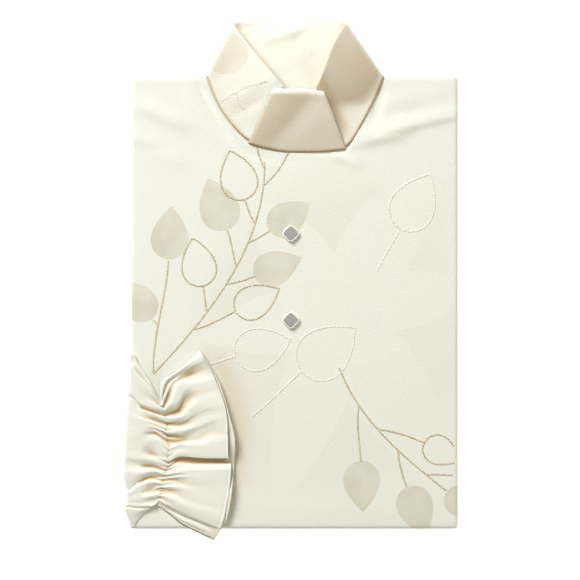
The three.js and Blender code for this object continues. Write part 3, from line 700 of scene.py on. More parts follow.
def carried(rows, steps, count):
    """Rows softened into a fine grid: u goes along the rows by the mean of the seam's and the rim's
    length, v from the seam to the rim. The cloth lies flat as far as the row's knee, and rises past
    it with the power of the row's bend; the corner there is the soft positive part
    (w + sqrt(w squared + c squared)) / 2. The belly is a parabola on top."""
    ends = np.stack([rows["n" + axis] + rows["r" + axis] for axis in "xyz"], -1) / 2
    knots = np.concatenate([[0], np.cumsum(np.linalg.norm(np.diff(ends, axis=0), axis=1) + 1.2)])
    u = np.linspace(0, knots[-1], count)
    values = {key: soft(knots, column, u) for key, column in rows.items()}
    v = np.linspace(0, 1, steps)[:, None]
    x, y = (values["n" + axis] + (values["r" + axis] - values["n" + axis]) * v for axis in "xy")
    past = v - values["knee"]
    past = (past + np.sqrt(past**2 + (KNEE * values["knee"]) ** 2)) / 2 / (1 - values["knee"])
    climb, belly = values["rz"] - values["nz"], values["belly"] * 4 * v * (1 - v)
    return u, v, knots, x, y, values["nz"] + climb * past ** values["bend"] + belly


def in_leaf(x, y, x0, y0, turn, length, width):
    """1 inside a leaf's outline and 0 outside it, softly at its edge."""
    cos, sin = np.cos(np.radians(turn)), np.sin(np.radians(turn))
    along = np.clip(((x - x0) * cos + (y - y0) * sin) / length, 0, 1)
    across = np.abs((y - y0) * cos - (x - x0) * sin) / width
    return ramp(-0.02, 0.02, half_leaf(along) - across)


def make_stand():
    """The grid, its flat place, its painted shade (inside the collar, in the shadow that the left rim
    casts, at the folds, along the seam, beside the flap and along the rim), and its taupe: a woven
    leaf on the left wing, painted shade over the rest of that wing, and woven figure and painted
    shade over the right wing, most on its upper part."""
    u, v, knots, x, y, z = carried(STAND, 46, 420)
    left_fold, right_fold, right_wing = knots[7], knots[11], knots[12]
    back = ramp(knots[6] + 1, left_fold + 2, u) * ramp(right_wing - 1, right_fold - 2, u)
    z = z + creases_at(STAND_CREASES, x, y) * (1 - back) * ramp(0, 0.2, v)
    z = z + creases_at(BACK_CREASES, x, y) * back * ramp(0, 0.3, v)
    # Painted shade, mixed towards amber: inside the collar, at its two folds, in the shadow that the left
    # rim casts on the back, along the seam, beside the flap and along the rim.
    shade_by_right_fold = 0.3 * bell(u - right_fold, 5) + 0.14 * bell(u - right_fold, 15)
    folds = 0.5 * bell(u - left_fold, 4) * ramp(0.8, 1, v) + shade_by_right_fold * ramp(0, 0.7, v)
    off_rim = 0.78 * (x + 56) + 0.626 * (y - 48)
    inside = back * (0.05 + 0.3 * bell(off_rim - 1, 2.5) + folds + 0.14 * bell(x - 14, 8) * bell(y - 4, 16))
    seam_shade = bell(v, 0.03) * (1 - back)
    shade_beside_flap = 0.5 * bell(u - knots[-2] + 2, 6) * ramp(0, 0.3, v)
    rim = 0.3 * bell(1 - v, 0.008) * ramp(knots[6], right_fold, u)
    depth = np.clip(inside + seam_shade + shade_beside_flap + rim, 0, 1)
    # Taupe: a woven leaf on the left wing, with painted shade over the wings, darkest on the right wing's
    # upper part.
    past_knee = v - soft(knots, STAND["knee"], u)
    left = ramp(left_fold, knots[6], u)
    upper_right = ramp(right_wing, knots[13] + 5, u) * ramp(0, 0.14, past_knee) * (1 - 0.5 * v)
    figure_and_shade = left * (0.26 * ramp(knots[1] - 3, knots[2] + 6, u) + 0.24 * in_leaf(x, y, *WING_LEAF))
    figure_and_shade = figure_and_shade + 0.24 * ramp(right_wing, knots[13], u) + 0.84 * upper_right
    flat = np.stack(np.broadcast_arrays(u, v * STAND_HEIGHT), -1) * MM
    return np.stack(np.broadcast_arrays(x, y, STACK + z), -1), flat, {"depth": depth, "figure_and_shade": figure_and_shade}


stand_grid, uv, fields = make_stand()
points = placed(*np.moveaxis(stand_grid, -1, 0))
stand = cloth_piece(
    "collar_stand", points, collar_finish, uv, 1.3, turned=True, fields=fields
)
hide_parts("collar_band")

# %% [markdown]
# The front of the collar is folded over the two ends of the stand. Its top edge rolls over softly,
# and one soft crease crosses it.

# %% The flap
FLAP = table(
    "nx ny rx ry nz rz knee bend belly",
    (-42, -60.5, -19.3, -12.4, 0.8, 15.6, 0, 0.92, 0.5),
    (-38, -61.8, -17.2, -12.6, 1.7, 17.0, 0, 1, 0.9),
    (-26, -65, -9.5, -12.9, 1.2, 18.6, 0, 1, 1.0),
    (-4, -68.4, 3, -13.0, 0.6, 19.4, 0, 1, 0.9),
    (24, -68.2, 17, -13.8, 1.0, 18.8, 0, 1, 0.7),
    (41, -66.6, 24.5, -14.6, 1.7, 17.2, 0, 1, 0.6),
    (46.6, -66.2, 26.6, -14.8, 0.8, 15.6, 0, 0.92, 0.4),
)
FLAP_CREASES = table(
    "x0 y0 x1 y1 left right rise",
    (26, -12, -14, -57, 11, 15, -1.5),
    (-8, -30, -22, -52, 8, 8, 0.5),
    (30, -34, 38, -56, 5, 5, 0.4),
)
ROLLED = 0.88  # the top edge starts to roll over at this share of the flap's height


def make_flap():
    """Its top edge drops by 2.2 mm with the square of the way along the roll, and its two sides by
    half a millimetre. Its taupe is partly the collar's own tone and partly painted shade, darker on
    one side of the crease that crosses it; amber painted shade lies along its seam and sides."""
    u, v, knots, x, y, z = carried(FLAP, 40, 120)
    side = bell(u, 1.2) + bell(u - knots[-1], 1.2)
    roll = np.maximum(v - ROLLED, 0) / (1 - ROLLED)
    z = z + creases_at(FLAP_CREASES, x, y) - 2.2 * roll**2 - 0.5 * side
    # Painted shade: amber along the seam and the two sides, and taupe darker on one side of the crease.
    depth = np.clip(bell(v, 0.03) + 0.1 * side, 0, 1)
    figure_and_shade = (0.5 + 0.28 * ramp(4, -6, x - 3 - (y + 35) * 0.88)) * ramp(0.99, ROLLED, v)
    flat = np.stack(np.broadcast_arrays(u, v * FLAP_HEIGHT), -1) * MM
    return placed(x, y, STACK + z), flat, {"depth": depth, "figure_and_shade": figure_and_shade}


points, uv, fields = make_flap()
flap = cloth_piece("collar_flap", points, collar_finish, uv, 1.3, fields=fields)
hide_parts("collar_front")

# %% [markdown]
# ## The gathered cuff
# The sleeve comes out of the side of the stack and crosses the front to a shirred line, where
# elastic thread gathers it. Past that line the same cloth fans out as the ruffle. The folds are
# drafted on a grid of 0.9 mm squares: a row for each ridge and valley, from the top of the cuff to
# its bottom. Each row gives x and y at three places from the side fold to the shirred line, then
# `along`, its share of the way down that line, and the rise over the front in mm at each place
# (z1 to z3) and at the line (z4).

# %% The draft of the sleeve
SQUARE = 0.9  # one square of the draft, in mm
CORNER = (294.5, 76)  # squares from the draft's corner to the garment's origin
SHIRRED = table(
    "x y",
    (160.5, 402), (163, 407), (166, 416), (167, 428), (168.5, 440), (169, 455),
    (168, 466), (165, 475), (162, 484), (161, 492), (159.5, 500), (156, 506),
)
SLEEVE = table(
    "x1 y1 x2 y2 x3 y3 along z1 z2 z3 z4",
    (128.5, 352, 138, 362, 150, 381, 0.01, 2.8, 2.6, 2.6, 2.6),  # top fold
    (128.3, 355, 138, 364.5, 150, 383, 0.02, 3.2, 3.2, 3.2, 3),
    (128.4, 360, 137, 368, 149, 386, 0.03, 2.2, 2.2, 2.6, 2.6),  # pocket under the fold
    (128.5, 366, 137, 374.5, 148, 389, 0.035, 2.2, 2.2, 2.6, 2.6),
    (128.5, 363, 138, 372.5, 151, 387, 0.04, 4.4, 4.6, 4.8, 3.6),  # the upper layer's edge
    (128.3, 366, 138, 376, 151, 390, 0.06, 4.8, 5, 5.2, 4),
    (128, 378, 138, 388, 151, 398, 0.09, 4.2, 4.2, 4.4, 3.6),
    (127.5, 389, 139, 398, 151, 404, 0.12, 4, 4, 4.4, 3.4),
    (127, 393, 139, 401, 152, 407, 0.145, 4, 4, 4.6, 4.2),
    (126.5, 396.5, 139, 406, 152, 411.5, 0.18, 2.4, 1.8, 1.8, 1.6),  # deep valley
    (126.3, 399, 138, 409, 152, 414, 0.21, 3.8, 4.2, 3.6, 3.8),
    (125, 409, 139, 414, 153, 419, 0.24, 4.2, 4.4, 2.6, 1.8),  # valley
    (125, 416, 139, 419, 153, 423, 0.28, 4.6, 5, 4.6, 4),
    (124.5, 427, 139, 428, 152, 428, 0.33, 4.4, 4.8, 4.4, 3),
    (124, 436, 140, 434, 154, 433, 0.38, 4.4, 4.8, 2.6, 1.8),  # valley
    (123.5, 444, 140, 441, 154, 441, 0.43, 4.2, 4.4, 4.4, 4.2),
    (123, 450, 140, 450, 152, 453, 0.48, 4.2, 4.2, 2.2, 1.8),  # valley
    (122.5, 457, 140, 458, 152, 459.5, 0.53, 4.2, 4.6, 4.8, 4.2),
    (122, 463, 140, 465.5, 152, 466, 0.575, 3.6, 3, 1.8, 1.6),  # valley
    (122, 473, 140, 473, 152, 471, 0.62, 4.2, 4.6, 4.6, 4),
    (125, 489.5, 138, 483, 152, 477.5, 0.66, 3.2, 2.2, 1.8, 1.6),  # sharp valley
    (125, 492, 139, 486, 152, 482, 0.71, 4, 4.4, 4.6, 4),
    (125, 496, 139, 493, 151, 489.5, 0.76, 3.8, 4, 2.4, 1.8),  # valley
    (124.5, 500, 139, 498, 152, 495, 0.81, 3.8, 4.2, 4.4, 3.8),
    (124, 502, 139, 502, 152, 499.5, 0.86, 3.6, 3.8, 3, 2.6),  # crease
    (123.8, 504.5, 139, 505.5, 152, 505.5, 0.92, 3.8, 4, 3.8, 3.2),
    (123.8, 507, 139, 508, 150, 507.2, 0.94, 3.2, 3.2, 3, 2.8),  # groove
    (123.6, 508.5, 138, 510, 148, 508.6, 0.955, 3.4, 3.4, 3, 2.8),
    (127, 518, 135, 516, 146, 510.5, 0.97, 2.6, 2.4, 2, 2),
    (130.5, 528, 136, 523, 148, 510, 0.985, 0.9, 0.9, 1, 1.2),  # bottom fold
)
POCKET = (2, 3, 4)
SLEEVE_VALLEYS = {
    "1": POCKET, "2": (*POCKET, 9, 20), "3": (*POCKET, 9, 14, 18, 20), "4": (9, 11, 14, 16, 18, 20, 22, 24)
}
print(len(SLEEVE["along"]), "folds across the sleeve")

# %% [markdown]
# Past the line the rows go on to four places on the way to the hem, with z0 the rise at the line
# and z4 at the hem. Both sides of the line are one cloth, so both are worked out on the same
# shares and meet point for point.

# %% The draft of the ruffle
RUFFLE = table(
    "x1 y1 x2 y2 x3 y3 x4 y4 along z0 z1 z2 z3 z4",
    (160.5, 393, 162, 382.5, 179, 369.5, 201, 351, 0.02, 2.6, 2.8, 2.8, 3, 2.8),  # top fold
    (162, 394, 164.5, 383, 181, 369.5, 203, 354, 0.035, 3.2, 4, 4.2, 5.0, 4.4),
    (163.5, 395, 167.5, 384, 184, 370.5, 205, 358, 0.05, 2, 2.4, 3, 4.2, 4.6),  # valley
    (165.5, 396, 171, 384, 187, 372, 207.5, 362.5, 0.07, 3.8, 4.8, 4.6, 3.1, 4.0),
    (167.5, 398, 173, 385, 190, 374.5, 210, 367, 0.09, 2.4, 3.2, 4.2, 2.4, 3.7),  # valley
    (172, 402, 180, 384, 194, 378, 213, 373, 0.115, 4.6, 5.8, 5.8, 3.4, 4.0),
    (176, 405, 185, 389, 198, 383, 216, 380.5, 0.14, 3.8, 5.4, 5.6, 5, 4.8),
    (177.5, 412, 188, 397, 202, 390, 219, 387, 0.17, 1.6, 2, 4, 5, 4.8),  # valley
    (182, 416, 195, 405, 208, 399, 222, 395, 0.20, 4.6, 5.2, 6, 5.6, 5.2),
    (183, 420, 198, 411, 211, 406, 225, 404, 0.225, 4, 4.6, 5.6, 5.8, 5.4),
    (180, 425, 196, 417, 210, 411, 226.5, 411, 0.26, 1.6, 2.8, 4.8, 5.4, 5.4),  # valley
    (182, 430, 200, 424.5, 214, 419, 227.5, 418, 0.295, 4.4, 4.8, 5.4, 5.8, 5.4),
    (182, 435, 200, 430, 214, 424, 228, 424, 0.325, 2.6, 3.2, 4.4, 5.2, 5.4),
    (181, 439.5, 197, 438, 213, 430, 228, 431, 0.36, 1.6, 2, 3.8, 4.8, 5.4),  # valley
    (183, 445, 200, 445, 214, 442, 228.5, 440, 0.42, 4.6, 5.4, 6, 6.2, 5.8),
    (182, 453, 200, 454, 214, 454.5, 228.5, 454, 0.48, 4.6, 5.2, 5.6, 5.8, 5.6),
    (182, 456.2, 199, 457.5, 214, 458, 229, 458.2, 0.505, 4, 4.8, 5.2, 5.4, 5.2),  # pleat's edge
    (181, 454, 199, 454.5, 214, 455, 229.5, 455, 0.515, 2.4, 2.6, 2.8, 2.8, 2.8),  # pleat's tuck
    (181, 460, 199, 461, 214, 461, 231, 461, 0.55, 1.5, 1.4, 1.4, 1.4, 1.4),  # pleat's floor
    (182, 470.5, 200, 470.5, 215, 470, 231.5, 468.5, 0.61, 3.8, 4.2, 4.6, 4.8, 4.6),
    (184, 475, 201, 476, 216, 476, 231, 476, 0.645, 3.6, 4.2, 4.6, 4.6, 4.4),
    (174, 480.5, 192, 485, 212, 487, 230, 487, 0.70, 1.6, 2.6, 3.8, 4.2, 4.2),  # valley
    (175, 486, 190, 490, 211, 494, 229, 495, 0.745, 3.8, 3.8, 4, 4.2, 4.2),
    (174, 490.5, 187, 497, 208, 503, 227, 505, 0.785, 1.6, 3, 3.8, 4.2, 4.2),  # valley
    (172, 498, 186, 505, 205, 511, 225, 516, 0.84, 4, 4.6, 4.8, 4.6, 4.4),
    (168.5, 505, 183, 511.5, 202, 520, 221, 527.5, 0.92, 3, 3.4, 3.6, 3.6, 3.4),
    (168, 507.5, 182, 514.5, 201, 522.5, 219.5, 530, 0.955, 2, 2, 2, 2, 2),  # bottom fold
)
PLEAT = (16, 17, 18)
RUFFLE_VALLEYS = {
    "0": (2, 4, 7, 10, 13, *PLEAT, 21, 23), "1": (2, 7, *PLEAT), "2": PLEAT, "3": PLEAT, "4": PLEAT
}
print(len(RUFFLE["along"]), "folds across the ruffle")

# %% [markdown]
# The under layer of the tube has fewer folds. Its rows go back up, and they give the rise only at
# the ruffle's hem, because the rest of it lies flat on the front.

# %% The draft of the under layer
SLEEVE_UNDER = table(
    "x1 y1 x2 y2 x3 y3 along",
    (131, 527, 137, 522, 148, 509, 0.985),
    (130, 500, 139, 498, 152, 494, 0.79),
    (130, 455, 139, 455, 153, 456, 0.52),
    (130, 420, 139, 421, 153, 424, 0.27),
    (130, 388, 139, 394, 152, 402, 0.13),
    (130, 353, 139, 363, 150, 381, 0.01),
)
RUFFLE_UNDER = table(
    "x1 y1 x2 y2 x3 y3 x4 y4 along z4",
    (171, 513, 182, 521.5, 198, 529.5, 215.5, 537, 0.96, 0.8),
    (175, 500, 190, 508, 210, 515, 227.5, 517, 0.86, 5.2),
    (176, 480, 195, 485, 214, 490, 232, 494, 0.72, 6.0),
    (177, 458, 198, 460, 216, 462, 234.5, 465, 0.55, 1.6),
    (177, 438, 198, 438, 216, 438, 235.5, 441, 0.40, 6.6),
    (175, 420, 194, 415, 211, 412, 229.5, 414, 0.25, 6.4),
    (168, 400, 182, 392, 200, 386, 221, 386, 0.10, 4.6),
    (161.5, 392, 163.5, 384, 180, 371, 203, 353, 0.02, 0.8),
)


def drafted(x, y):
    """Squares of the draft to garment millimetres."""
    return (x - CORNER[0]) * SQUARE, (CORNER[1] - y) * SQUARE


print(len(SLEEVE_UNDER["along"]), "folds under the sleeve,", len(RUFFLE_UNDER["along"]), "under the ruffle")


# %% [markdown]
# The tube goes once round: down its upper layer in 420 steps, and back up its under layer in 100.
# The rows of the draft are softened first, with a sharp turn at each valley, and then each line
# across the cuff is softened through its four or five drafted places.

# %% Both tubes
UPPER, UNDER = 420, 100
TOP, LAST = 0.01, 0.985  # shares of the top fold and of the bottom fold
UNDER_LIFT = 0.6  # the under layer's height over the front
SLEEVE_LOFT = 1.12  # folds stand higher than drafted, and the ruffle's most at its hem
RUFFLE_LOFT = {"0": 1.25, "1": 1.25, "2": 1.3, "3": 1.4, "4": 1.5}
VALLEY_FLOOR = 1.2
share = np.concatenate([np.linspace(TOP, LAST, UPPER), np.linspace(LAST, TOP, UNDER + 2)[1:-1]])
is_upper = np.arange(UPPER + UNDER) < UPPER


def both_layers(upper, under, column, valleys):
    """One drafted column all round the tube: softened rows above, then below. Rises well over the
    valleys' floor are multiplied by the loft."""
    values = upper[column]
    if column[0] == "z":
        loft = RUFFLE_LOFT[column[1]] if upper is RUFFLE else SLEEVE_LOFT
        values = VALLEY_FLOOR + (values - VALLEY_FLOOR) * np.where(values > VALLEY_FLOOR + 2, loft, 1)
    above = soft(upper["along"], values, share[:UPPER], valleys)
    if column not in under:
        return np.concatenate([above, np.full(UNDER, UNDER_LIFT)])
    below = soft(under["along"][::-1], under[column][::-1], share[UPPER:])
    return np.concatenate([above, below])


def uneven(waves, wander, slower):
    """So many waves down the line, a sine whose place is itself moved by a slower sine."""
    return np.sin(2 * np.pi * waves * share + wander * np.sin(2 * np.pi * slower * share))


line_knots = np.linspace(0, 1, len(SHIRRED["x"]))
line_x, line_y = drafted(*(soft(line_knots, SHIRRED[key], share) for key in "xy"))
line_x = line_x + 0.8 * uneven(10, 1.4, 3) * (share > 0.05)
sleeve_side = both_layers(SLEEVE, SLEEVE_UNDER, "z4", SLEEVE_VALLEYS["4"])
ruffle_side = both_layers(RUFFLE, RUFFLE_UNDER, "z0", RUFFLE_VALLEYS["0"])
line_z = (sleeve_side + ruffle_side) / 2
coarse = uneven(17, 2.1, 3)
pucker = (0.6 * uneven(27, 1.6, 5) + 0.5 * coarse) * (0.75 + 0.25 * uneven(4, 0, 0)) * is_upper
print(f"the shirred line is {np.hypot(np.diff(line_x), np.diff(line_y))[:UPPER - 1].sum():.0f} mm long")

# %% [markdown]
# Both tubes are made the same way from here: lines across the cuff, puckers by the shirred line,
# then the painted shade that makes the valleys warm and dark.

# %% Sleeve and ruffle
def drafted_columns(upper, under, valleys, places):
    """The drafted places as a list of x, y and rise round the tube. A valley is sharp by the
    shirred line and soft further out, so each place has its own sharp rows."""
    found = []
    for place in places:
        sharp = valleys[place]
        x, y = (both_layers(upper, under, axis + place, sharp) for axis in "xy")
        found.append([*drafted(x, y), both_layers(upper, under, "z" + place, sharp)])
    return found


def across_cuff(columns, steps, near_line):
    """Soften the lines across the cuff, then pucker them near the shirred line: the puckers fall
    off as a bell of the distance to it."""
    points = np.array([np.stack(np.broadcast_arrays(*column), -1) for column in columns])
    knots = np.concatenate([[0], np.cumsum(np.linalg.norm(np.diff(points, axis=0), axis=-1).mean(-1))])
    at = np.linspace(0, knots[-1], steps)
    grid = soft(knots, points, at)
    away = (knots[-1] - at if near_line else at)[:, None]
    beyond = coarse * is_upper * bell(away - 7, 8) * ramp(0, 6, away)
    grid[..., 2] += 0.9 * pucker * bell(away, 4.5) + 0.4 * beyond
    return grid, away


def hollows(height, reach=15):
    """How far a point lies under the mean of its neighbours along the ring."""
    mean = sum(np.roll(height, k, axis=1) for k in range(-reach, reach + 1)) / (2 * reach + 1)
    return np.maximum(mean - height, 0)


def finish_cuff(name, grid, away, shaded_to):
    """Fields and flat place of a tube, then its shell. Painted shade makes the cloth warm and dark in
    its valleys and between the puckers, as far from the shirred line as given, and a little over
    the whole under layer."""
    rise = grid[..., 2] - STACK
    inside = ramp(0.015, 0.05, share) * ramp(0.98, 0.93, share) * ramp(shaded_to, shaded_to - 6, away)
    # Painted shade: amber in the valleys, in hollows along the ring, between the puckers, and faintly on
    # the under layer.
    valley = 0.9 * ramp(3.4, 1.3, rise) + 0.75 * np.clip(hollows(grid[..., 2]) / 1.2, 0, 1)
    between = 0.7 * bell(away, 3.5) * np.maximum(-pucker, 0)
    depth = np.clip((valley + between) * inside, 0, 1) * is_upper + 0.2 * ~is_upper
    around = np.concatenate([[0], np.cumsum(np.linalg.norm(np.diff(grid, axis=1), axis=-1).mean(0))])
    flat, fields = np.stack(np.broadcast_arrays(away, around), -1) * MM, {"depth": depth}
    points = placed(*np.moveaxis(grid, -1, 0))
    return cloth_piece(name, points, cuff_finish, flat, 0.55, around=True, fields=fields)


def make_sleeve():
    """Out of the stack, round the side fold, and over the front to the shirred line. Below, the
    places round the fold are points of a circle a little wider than the fold."""
    first, second, third = drafted_columns(SLEEVE, SLEEVE_UNDER, SLEEVE_VALLEYS, "123")
    bulge, y, rise = first
    inner = np.maximum(y, -RUN - ROLL + 3)
    turns = np.radians([160, 115, 70, 25])
    under = [(-FLAT - (ROLL + 0.6) * np.sin(t), STACK - ROLL + (ROLL + 0.6) * np.cos(t)) for t in turns]
    upper = [(-FLAT - 3, 9.1), (bulge, 13.4), (bulge + 0.6, 17.2), (bulge + 3.4, STACK + rise - 0.3)]
    columns = [[-FLAT + 1.6, inner, np.where(is_upper, 8.9, STACK * 2 / 3 - 0.6)]]
    for number, (above, below) in enumerate(zip(upper, under)):
        level = [inner, (inner + y) / 2, y, y][number]
        reach, height = (np.where(is_upper, above[k], below[k]) for k in (0, 1))
        columns.append([reach, level, height])
    columns += [[x, y, STACK + z] for x, y, z in (second, third)] + [[line_x, line_y, STACK + line_z]]
    grid, at = across_cuff(columns, 60, near_line=True)
    return finish_cuff("sleeve_cloth", grid, at, shaded_to=27)


def make_ruffle():
    """From the shirred line to the hem, whose turned edge is a narrow ridge beside a groove."""
    columns = [[line_x, line_y, STACK + line_z]]
    drawn = drafted_columns(RUFFLE, RUFFLE_UNDER, RUFFLE_VALLEYS, "1234")
    columns += [[x, y, STACK + z] for x, y, z in drawn]
    grid, at = across_cuff(columns, 80, near_line=False)
    hem = at[-1] - at
    grid[..., 2] += (0.45 * bell(hem - 0.7, 0.8) - 0.3 * bell(hem - 2.6, 0.8)) * is_upper
    return finish_cuff("ruffle_cloth", grid, at, shaded_to=90)


sleeve, ruffle = make_sleeve(), make_ruffle()
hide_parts("sleeve_right")
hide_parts("cuff_ruffle")

# %% [markdown]
# ## Thread
# Stems and some leaves are outlined in gold or white thread, laid in short slanting stitches. A stem
# is a curve whose bend changes steadily along it, so five numbers draw it. A leaf's edge is the same
# outline as the woven leaves have. One small stitch is repeated along all of them.

# %% The stitched lines
def leaf_path(x, y, turn, length, width):
    """There along one edge of the leaf and back along the other."""
    t = np.concatenate([np.linspace(0, 1, 200), np.linspace(1, 0, 200)])
    side = np.repeat([1, -1], 200)
    half = side * width * half_leaf(t)
    cos, sin = np.cos(np.radians(turn)), np.sin(np.radians(turn))
    return x + cos * t * length - sin * half, y + sin * t * length + cos * half


def stitches_on(path, pitch):
    """Middle and heading of each stitch, evenly spaced along a path, as far as the flat front
    goes. A path of x and y lies on the front; one with z brings its own height."""
    x, y = path[:2]
    z = path[2] if len(path) > 2 else STACK + relief(x, y)
    run = np.concatenate([[0], np.cumsum(np.hypot(np.diff(x), np.diff(y)))])
    at = np.arange(pitch / 2, run[-1], pitch)
    px, py, pz, ax, ay, bx, by = (
        np.interp(at + ahead, run, line)
        for ahead, line in ((0, x), (0, y), (0, z), (0.3, x), (0.3, y), (-0.3, x), (-0.3, y))
    )
    spots = np.stack([px, py, np.arctan2(ay - by, ax - bx), pz], -1)
    return spots[(np.abs(px) < FLAT - 1) & (py > -RUN)]


def make_stitching(name, paths, finish, pitch, thick, lift=0.1):
    """A stitch is a spindle: three rings of six points whose radius is the sine along it, with
    both ends closed. It is longer than the pitch and lies a little across the path, so that the
    stitches overlap like the strands of a rope."""
    spots = np.concatenate([stitches_on(path, pitch) for path in paths])
    t, turn = np.meshgrid(np.array([0.12, 0.5, 0.88]), np.arange(6) * np.pi / 3, indexing="ij")
    radius = 0.5 * np.sin(np.pi * t) * thick
    long = 1.35 * pitch
    body = np.stack([(t - 0.5) * long, radius * np.cos(turn), radius * np.sin(turn) * 0.6], -1)
    body = np.concatenate([body.reshape(-1, 3), [[-long / 2, 0, 0], [long / 2, 0, 0]]])
    ends = [[18, (j + 1) % 6, j] for j in range(6)] + [[19, 12 + j, 12 + (j + 1) % 6] for j in range(6)]
    sides = grid_quads(3, 6, around=True)
    angle = spots[:, 2] + np.radians(26)
    cos, sin = np.cos(angle)[:, None], np.sin(angle)[:, None]
    x = spots[:, :1] + cos * body[:, 0] - sin * body[:, 1]
    y = spots[:, 1:2] + sin * body[:, 0] + cos * body[:, 1]
    z = spots[:, 3:] + lift + body[:, 2]
    shift = np.arange(len(spots))[:, None, None] * len(body)
    faces = (sides + shift).reshape(-1, 4).tolist() + (np.array(ends) + shift).reshape(-1, 3).tolist()
    print(f"{name}: {len(spots)} stitches")
    return mesh_piece(name, placed(x, y, z), faces, finish)


def two_tone(name, scale, detail, edge, tones, rough, twist=0.0, **sockets):
    """Soft noise takes the colour from one tone to the other between the two edges, and adds its
    share to the roughness."""
    finish = Finish(name)
    cloud = noise(finish, finish.node("TexCoord", output=3), scale, detail, Distortion=twist)
    colour = finish.mix(cloud.step(*edge), *tones)
    return finish.surface(Base_Color=colour, Roughness=rough[0] + cloud * rough[1], **sockets)


def thread_finish(name, colour, dark=0.7):
    """Twisted thread: fine strands of two tones, a little glossy."""
    tones = (shade_of(colour, dark), colour)
    return two_tone(name, 450.0, 2.0, (0.3, 0.7), tones, (0.42, 0.1), Metallic=0.1)


def lines_in(kinds, outlined):
    """Stems of these kinds, and the outlines of the leaves of one kind."""
    found = [path[:2] for path, kind in zip(stems, BRANCHES["kind"]) if kind in kinds]
    return found + [leaf_path(*leaf[:5]) for leaf in leaves if leaf[-1] == outlined]


# %% [markdown]
# The stems of the white leaves are white too, and all others are gold.

# %% Gold and white lines
GOLD, PALE_GOLD, WHITE = (0.74, 0.64, 0.42), (0.87, 0.81, 0.66), (0.88, 0.885, 0.82)
gold, white = thread_finish("gold thread", GOLD), thread_finish("white thread", WHITE, dark=0.96)
gold_lines = lines_in((BARE, WOVEN_LEAF, GOLD_LEAF), GOLD_LEAF)
white_lines = lines_in((WHITE_LEAF,), WHITE_LEAF)
make_stitching("gold_stitching", gold_lines, gold, 2.4, 1.6, lift=0.2)
make_stitching("white_stitching", white_lines, white, 2.4, 1.5, lift=0.12)


# %% [markdown]
# A stem with one twig climbs the left wing of the collar, in thinner and paler thread.

# %% Lines on the collar
def on_stand(*places):
    """A soft line over the collar's stand, through shares of its length and of its height."""
    along, up = soft(np.arange(len(places)), places, np.linspace(0, len(places) - 1, 160)).T
    rows, columns = stand_grid.shape[:2]
    i, j = (up * (rows - 1)).astype(int), (along * (columns - 1)).astype(int)
    k = np.minimum(j + 1, columns - 1)
    share = (along * (columns - 1) - j)[:, None]
    return tuple((stand_grid[i, j] * (1 - share) + stand_grid[i, k] * share).T)


stem = on_stand((0.162, 0.08), (0.112, 0.5), (0.05, 0.86))
twig = on_stand((0.126, 0.38), (0.095, 0.3), (0.06, 0.33))
pale = thread_finish("pale gold thread", PALE_GOLD)
make_stitching("collar_stitching", [stem, twig], pale, 2.1, 0.75)

# %% [markdown]
# ## The buttons
# Each button is a rounded square of shell, set on its corner, with a grey plate let into it. Both
# are a profile carried round one outline, and both close at their middle.

# %% Shell and inlay
BUTTONS = ((-3.3, -141.8), (-3.3, -219.8))
BUTTON_HALF, INLAY_HALF = 6.5, 5.5
BUTTON_SQUARENESS = 3.6


def turned_square(name, x, y, half, profile, finish):
    """Superellipse turned by 45 degrees, less each inset of the profile and lifted to its height."""
    angle = np.linspace(0, 2 * np.pi, 96, endpoint=False)
    inset, height = np.array(profile).T[:, :, None]
    spread = np.maximum(superellipse(angle, BUTTON_SQUARENESS) * half - inset, 0) * (inset < half)
    turn = angle + np.pi / 4
    points = placed(x + spread * np.cos(turn), y + spread * np.sin(turn), STACK + height)
    faces = grid_quads(len(profile), 96, around=True).tolist()
    piece = mesh_piece(name, points, faces, finish)
    close_up(piece)
    return piece


def rim_profile(half):
    """From the middle underneath, round the edge, to the lip of the well and its floor."""
    turns = np.radians(np.arange(0, 181, 18))
    round_edge = [(0.9 * (1 - np.sin(t)), 2.15 - 0.75 * np.cos(t)) for t in turns]
    lip = [(1.05, 2.88), (1.15, 2.8), (1.2, 2.6), (2.2, 2.55), (half, 2.55)]
    return [(half, 1.4), (2.5, 1.4), *round_edge, *lip]


def plate_profile(half):
    """A thin plate whose top is a shallow dome: its height falls with the square of the reach."""
    dome = [(half * (1 - t), 2.98 - 0.16 * t**2) for t in np.linspace(0.96, 0, 12)]
    return [(half, 2.62), (0.1, 2.62), (0.02, 2.7), (0.06, 2.78), *dome]


pearl = two_tone(
    "shell", 260.0, 3.0, (0.35, 0.65), ((0.86, 0.83, 0.76), (0.92, 0.92, 0.91)), (0.18, 0.12),
    twist=1.2, Coat_Weight=0.4,
)
slate = two_tone(
    "grey plate", 380.0, 4.0, (0.3, 0.7), ((0.34, 0.325, 0.31), (0.42, 0.405, 0.39)), (0.3, 0.15),
    Metallic=0.25, Coat_Weight=0.25,
)
for number, (x, y) in enumerate(BUTTONS, 1):
    rim, dome = rim_profile(BUTTON_HALF), plate_profile(INLAY_HALF)
    shell = turned_square(f"button_shell_{number}", x, y, BUTTON_HALF, rim, pearl)
    plate = turned_square(f"button_plate_{number}", x, y, INLAY_HALF, dome, slate)
    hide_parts(f"button_{number}")
    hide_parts(f"button_{number}_inlay")

# %% [markdown]
# ## Floor, light and camera
# A pale floor with one large soft light over the neck end on the left. A warm reflector stands
# opposite, and a weak light hangs overhead.

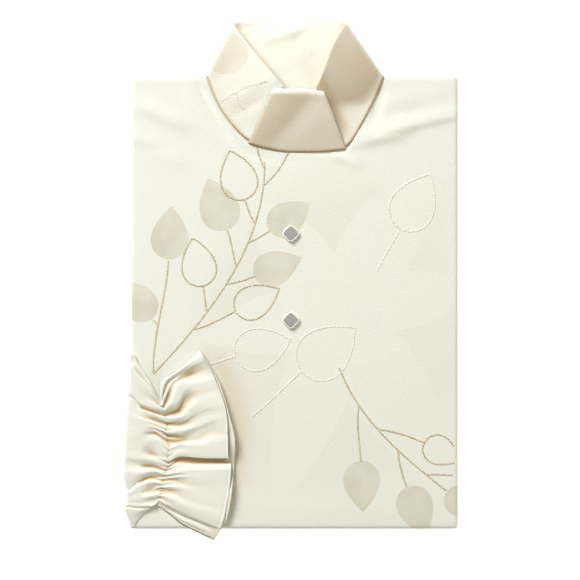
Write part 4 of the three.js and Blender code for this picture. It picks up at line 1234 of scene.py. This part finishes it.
# %% The stage
def stage_finish():
    """Matt grey with faint specks, and a glow of its own that makes it near white."""
    finish = Finish("pale floor")
    speck = noise(finish, finish.node("TexCoord", output=3), 40.0)
    colour = finish.mix(speck * 0.5, (0.28, 0.28, 0.28), (0.30, 0.30, 0.30))
    glow = {"Emission_Color": (1, 1, 1, 1), "Emission_Strength": 0.95}
    return finish.surface(Base_Color=colour, Roughness=0.9, **glow)


bpy.ops.mesh.primitive_plane_add(size=8, location=(0, 0, 0))
floor = bpy.context.object
floor.name = "floor"
floor.data.materials.append(stage_finish())


def lamp(name, size, power, place, colour=(1, 1, 1)):
    """A round soft light that points at the middle of the floor."""
    light = bpy.data.objects.new(name, bpy.data.lights.new(name, "AREA"))
    light.data.shape, light.data.size, light.data.energy = "DISK", size, power
    light.data.color, light.location = colour, place
    light.rotation_euler = (-Vector(place)).to_track_quat("-Z", "Y").to_euler()
    bpy.context.scene.collection.objects.link(light)


lamp("window", 1.6, 112, (-1.45, 2.05, 1.85), (0.97, 0.98, 1))
lamp("reflector", 1.6, 20, (2.3, -1.7, 0.9), (1, 0.88, 0.7))
lamp("ceiling", 2.4, 10, (0.3, 0.2, 2.4))
world = bpy.data.worlds.new("studio")
world.use_nodes = True
world.node_tree.nodes["Background"].inputs["Color"].default_value = (1.0, 0.91, 0.73, 1)
world.node_tree.nodes["Background"].inputs["Strength"].default_value = 0.26
bpy.context.scene.world = world
print("lights:", [light.name for light in bpy.data.lights])

# %% [markdown]
# The camera looks straight down through a long lens. Its height is the field's width times the
# lens's length over the sensor's width.

# %% The camera
LENS, SENSOR = 135, 36
FIELD = 0.522  # metres across the picture at the front's face
AIM = (-4.05, -192.6)  # on the front, in mm
aim = placed(*AIM, STACK)
camera = bpy.data.objects.new("camera", bpy.data.cameras.new("camera"))
camera.data.lens, camera.data.sensor_width = LENS, SENSOR
camera.location = (aim[0], aim[1], aim[2] + FIELD * LENS / SENSOR)
camera.data.clip_end = 20
bpy.context.scene.collection.objects.link(camera)
bpy.context.scene.camera = camera
bpy.context.scene.view_settings.view_transform = "Standard"
print(f"the camera is {camera.location[2]:.2f} m up")
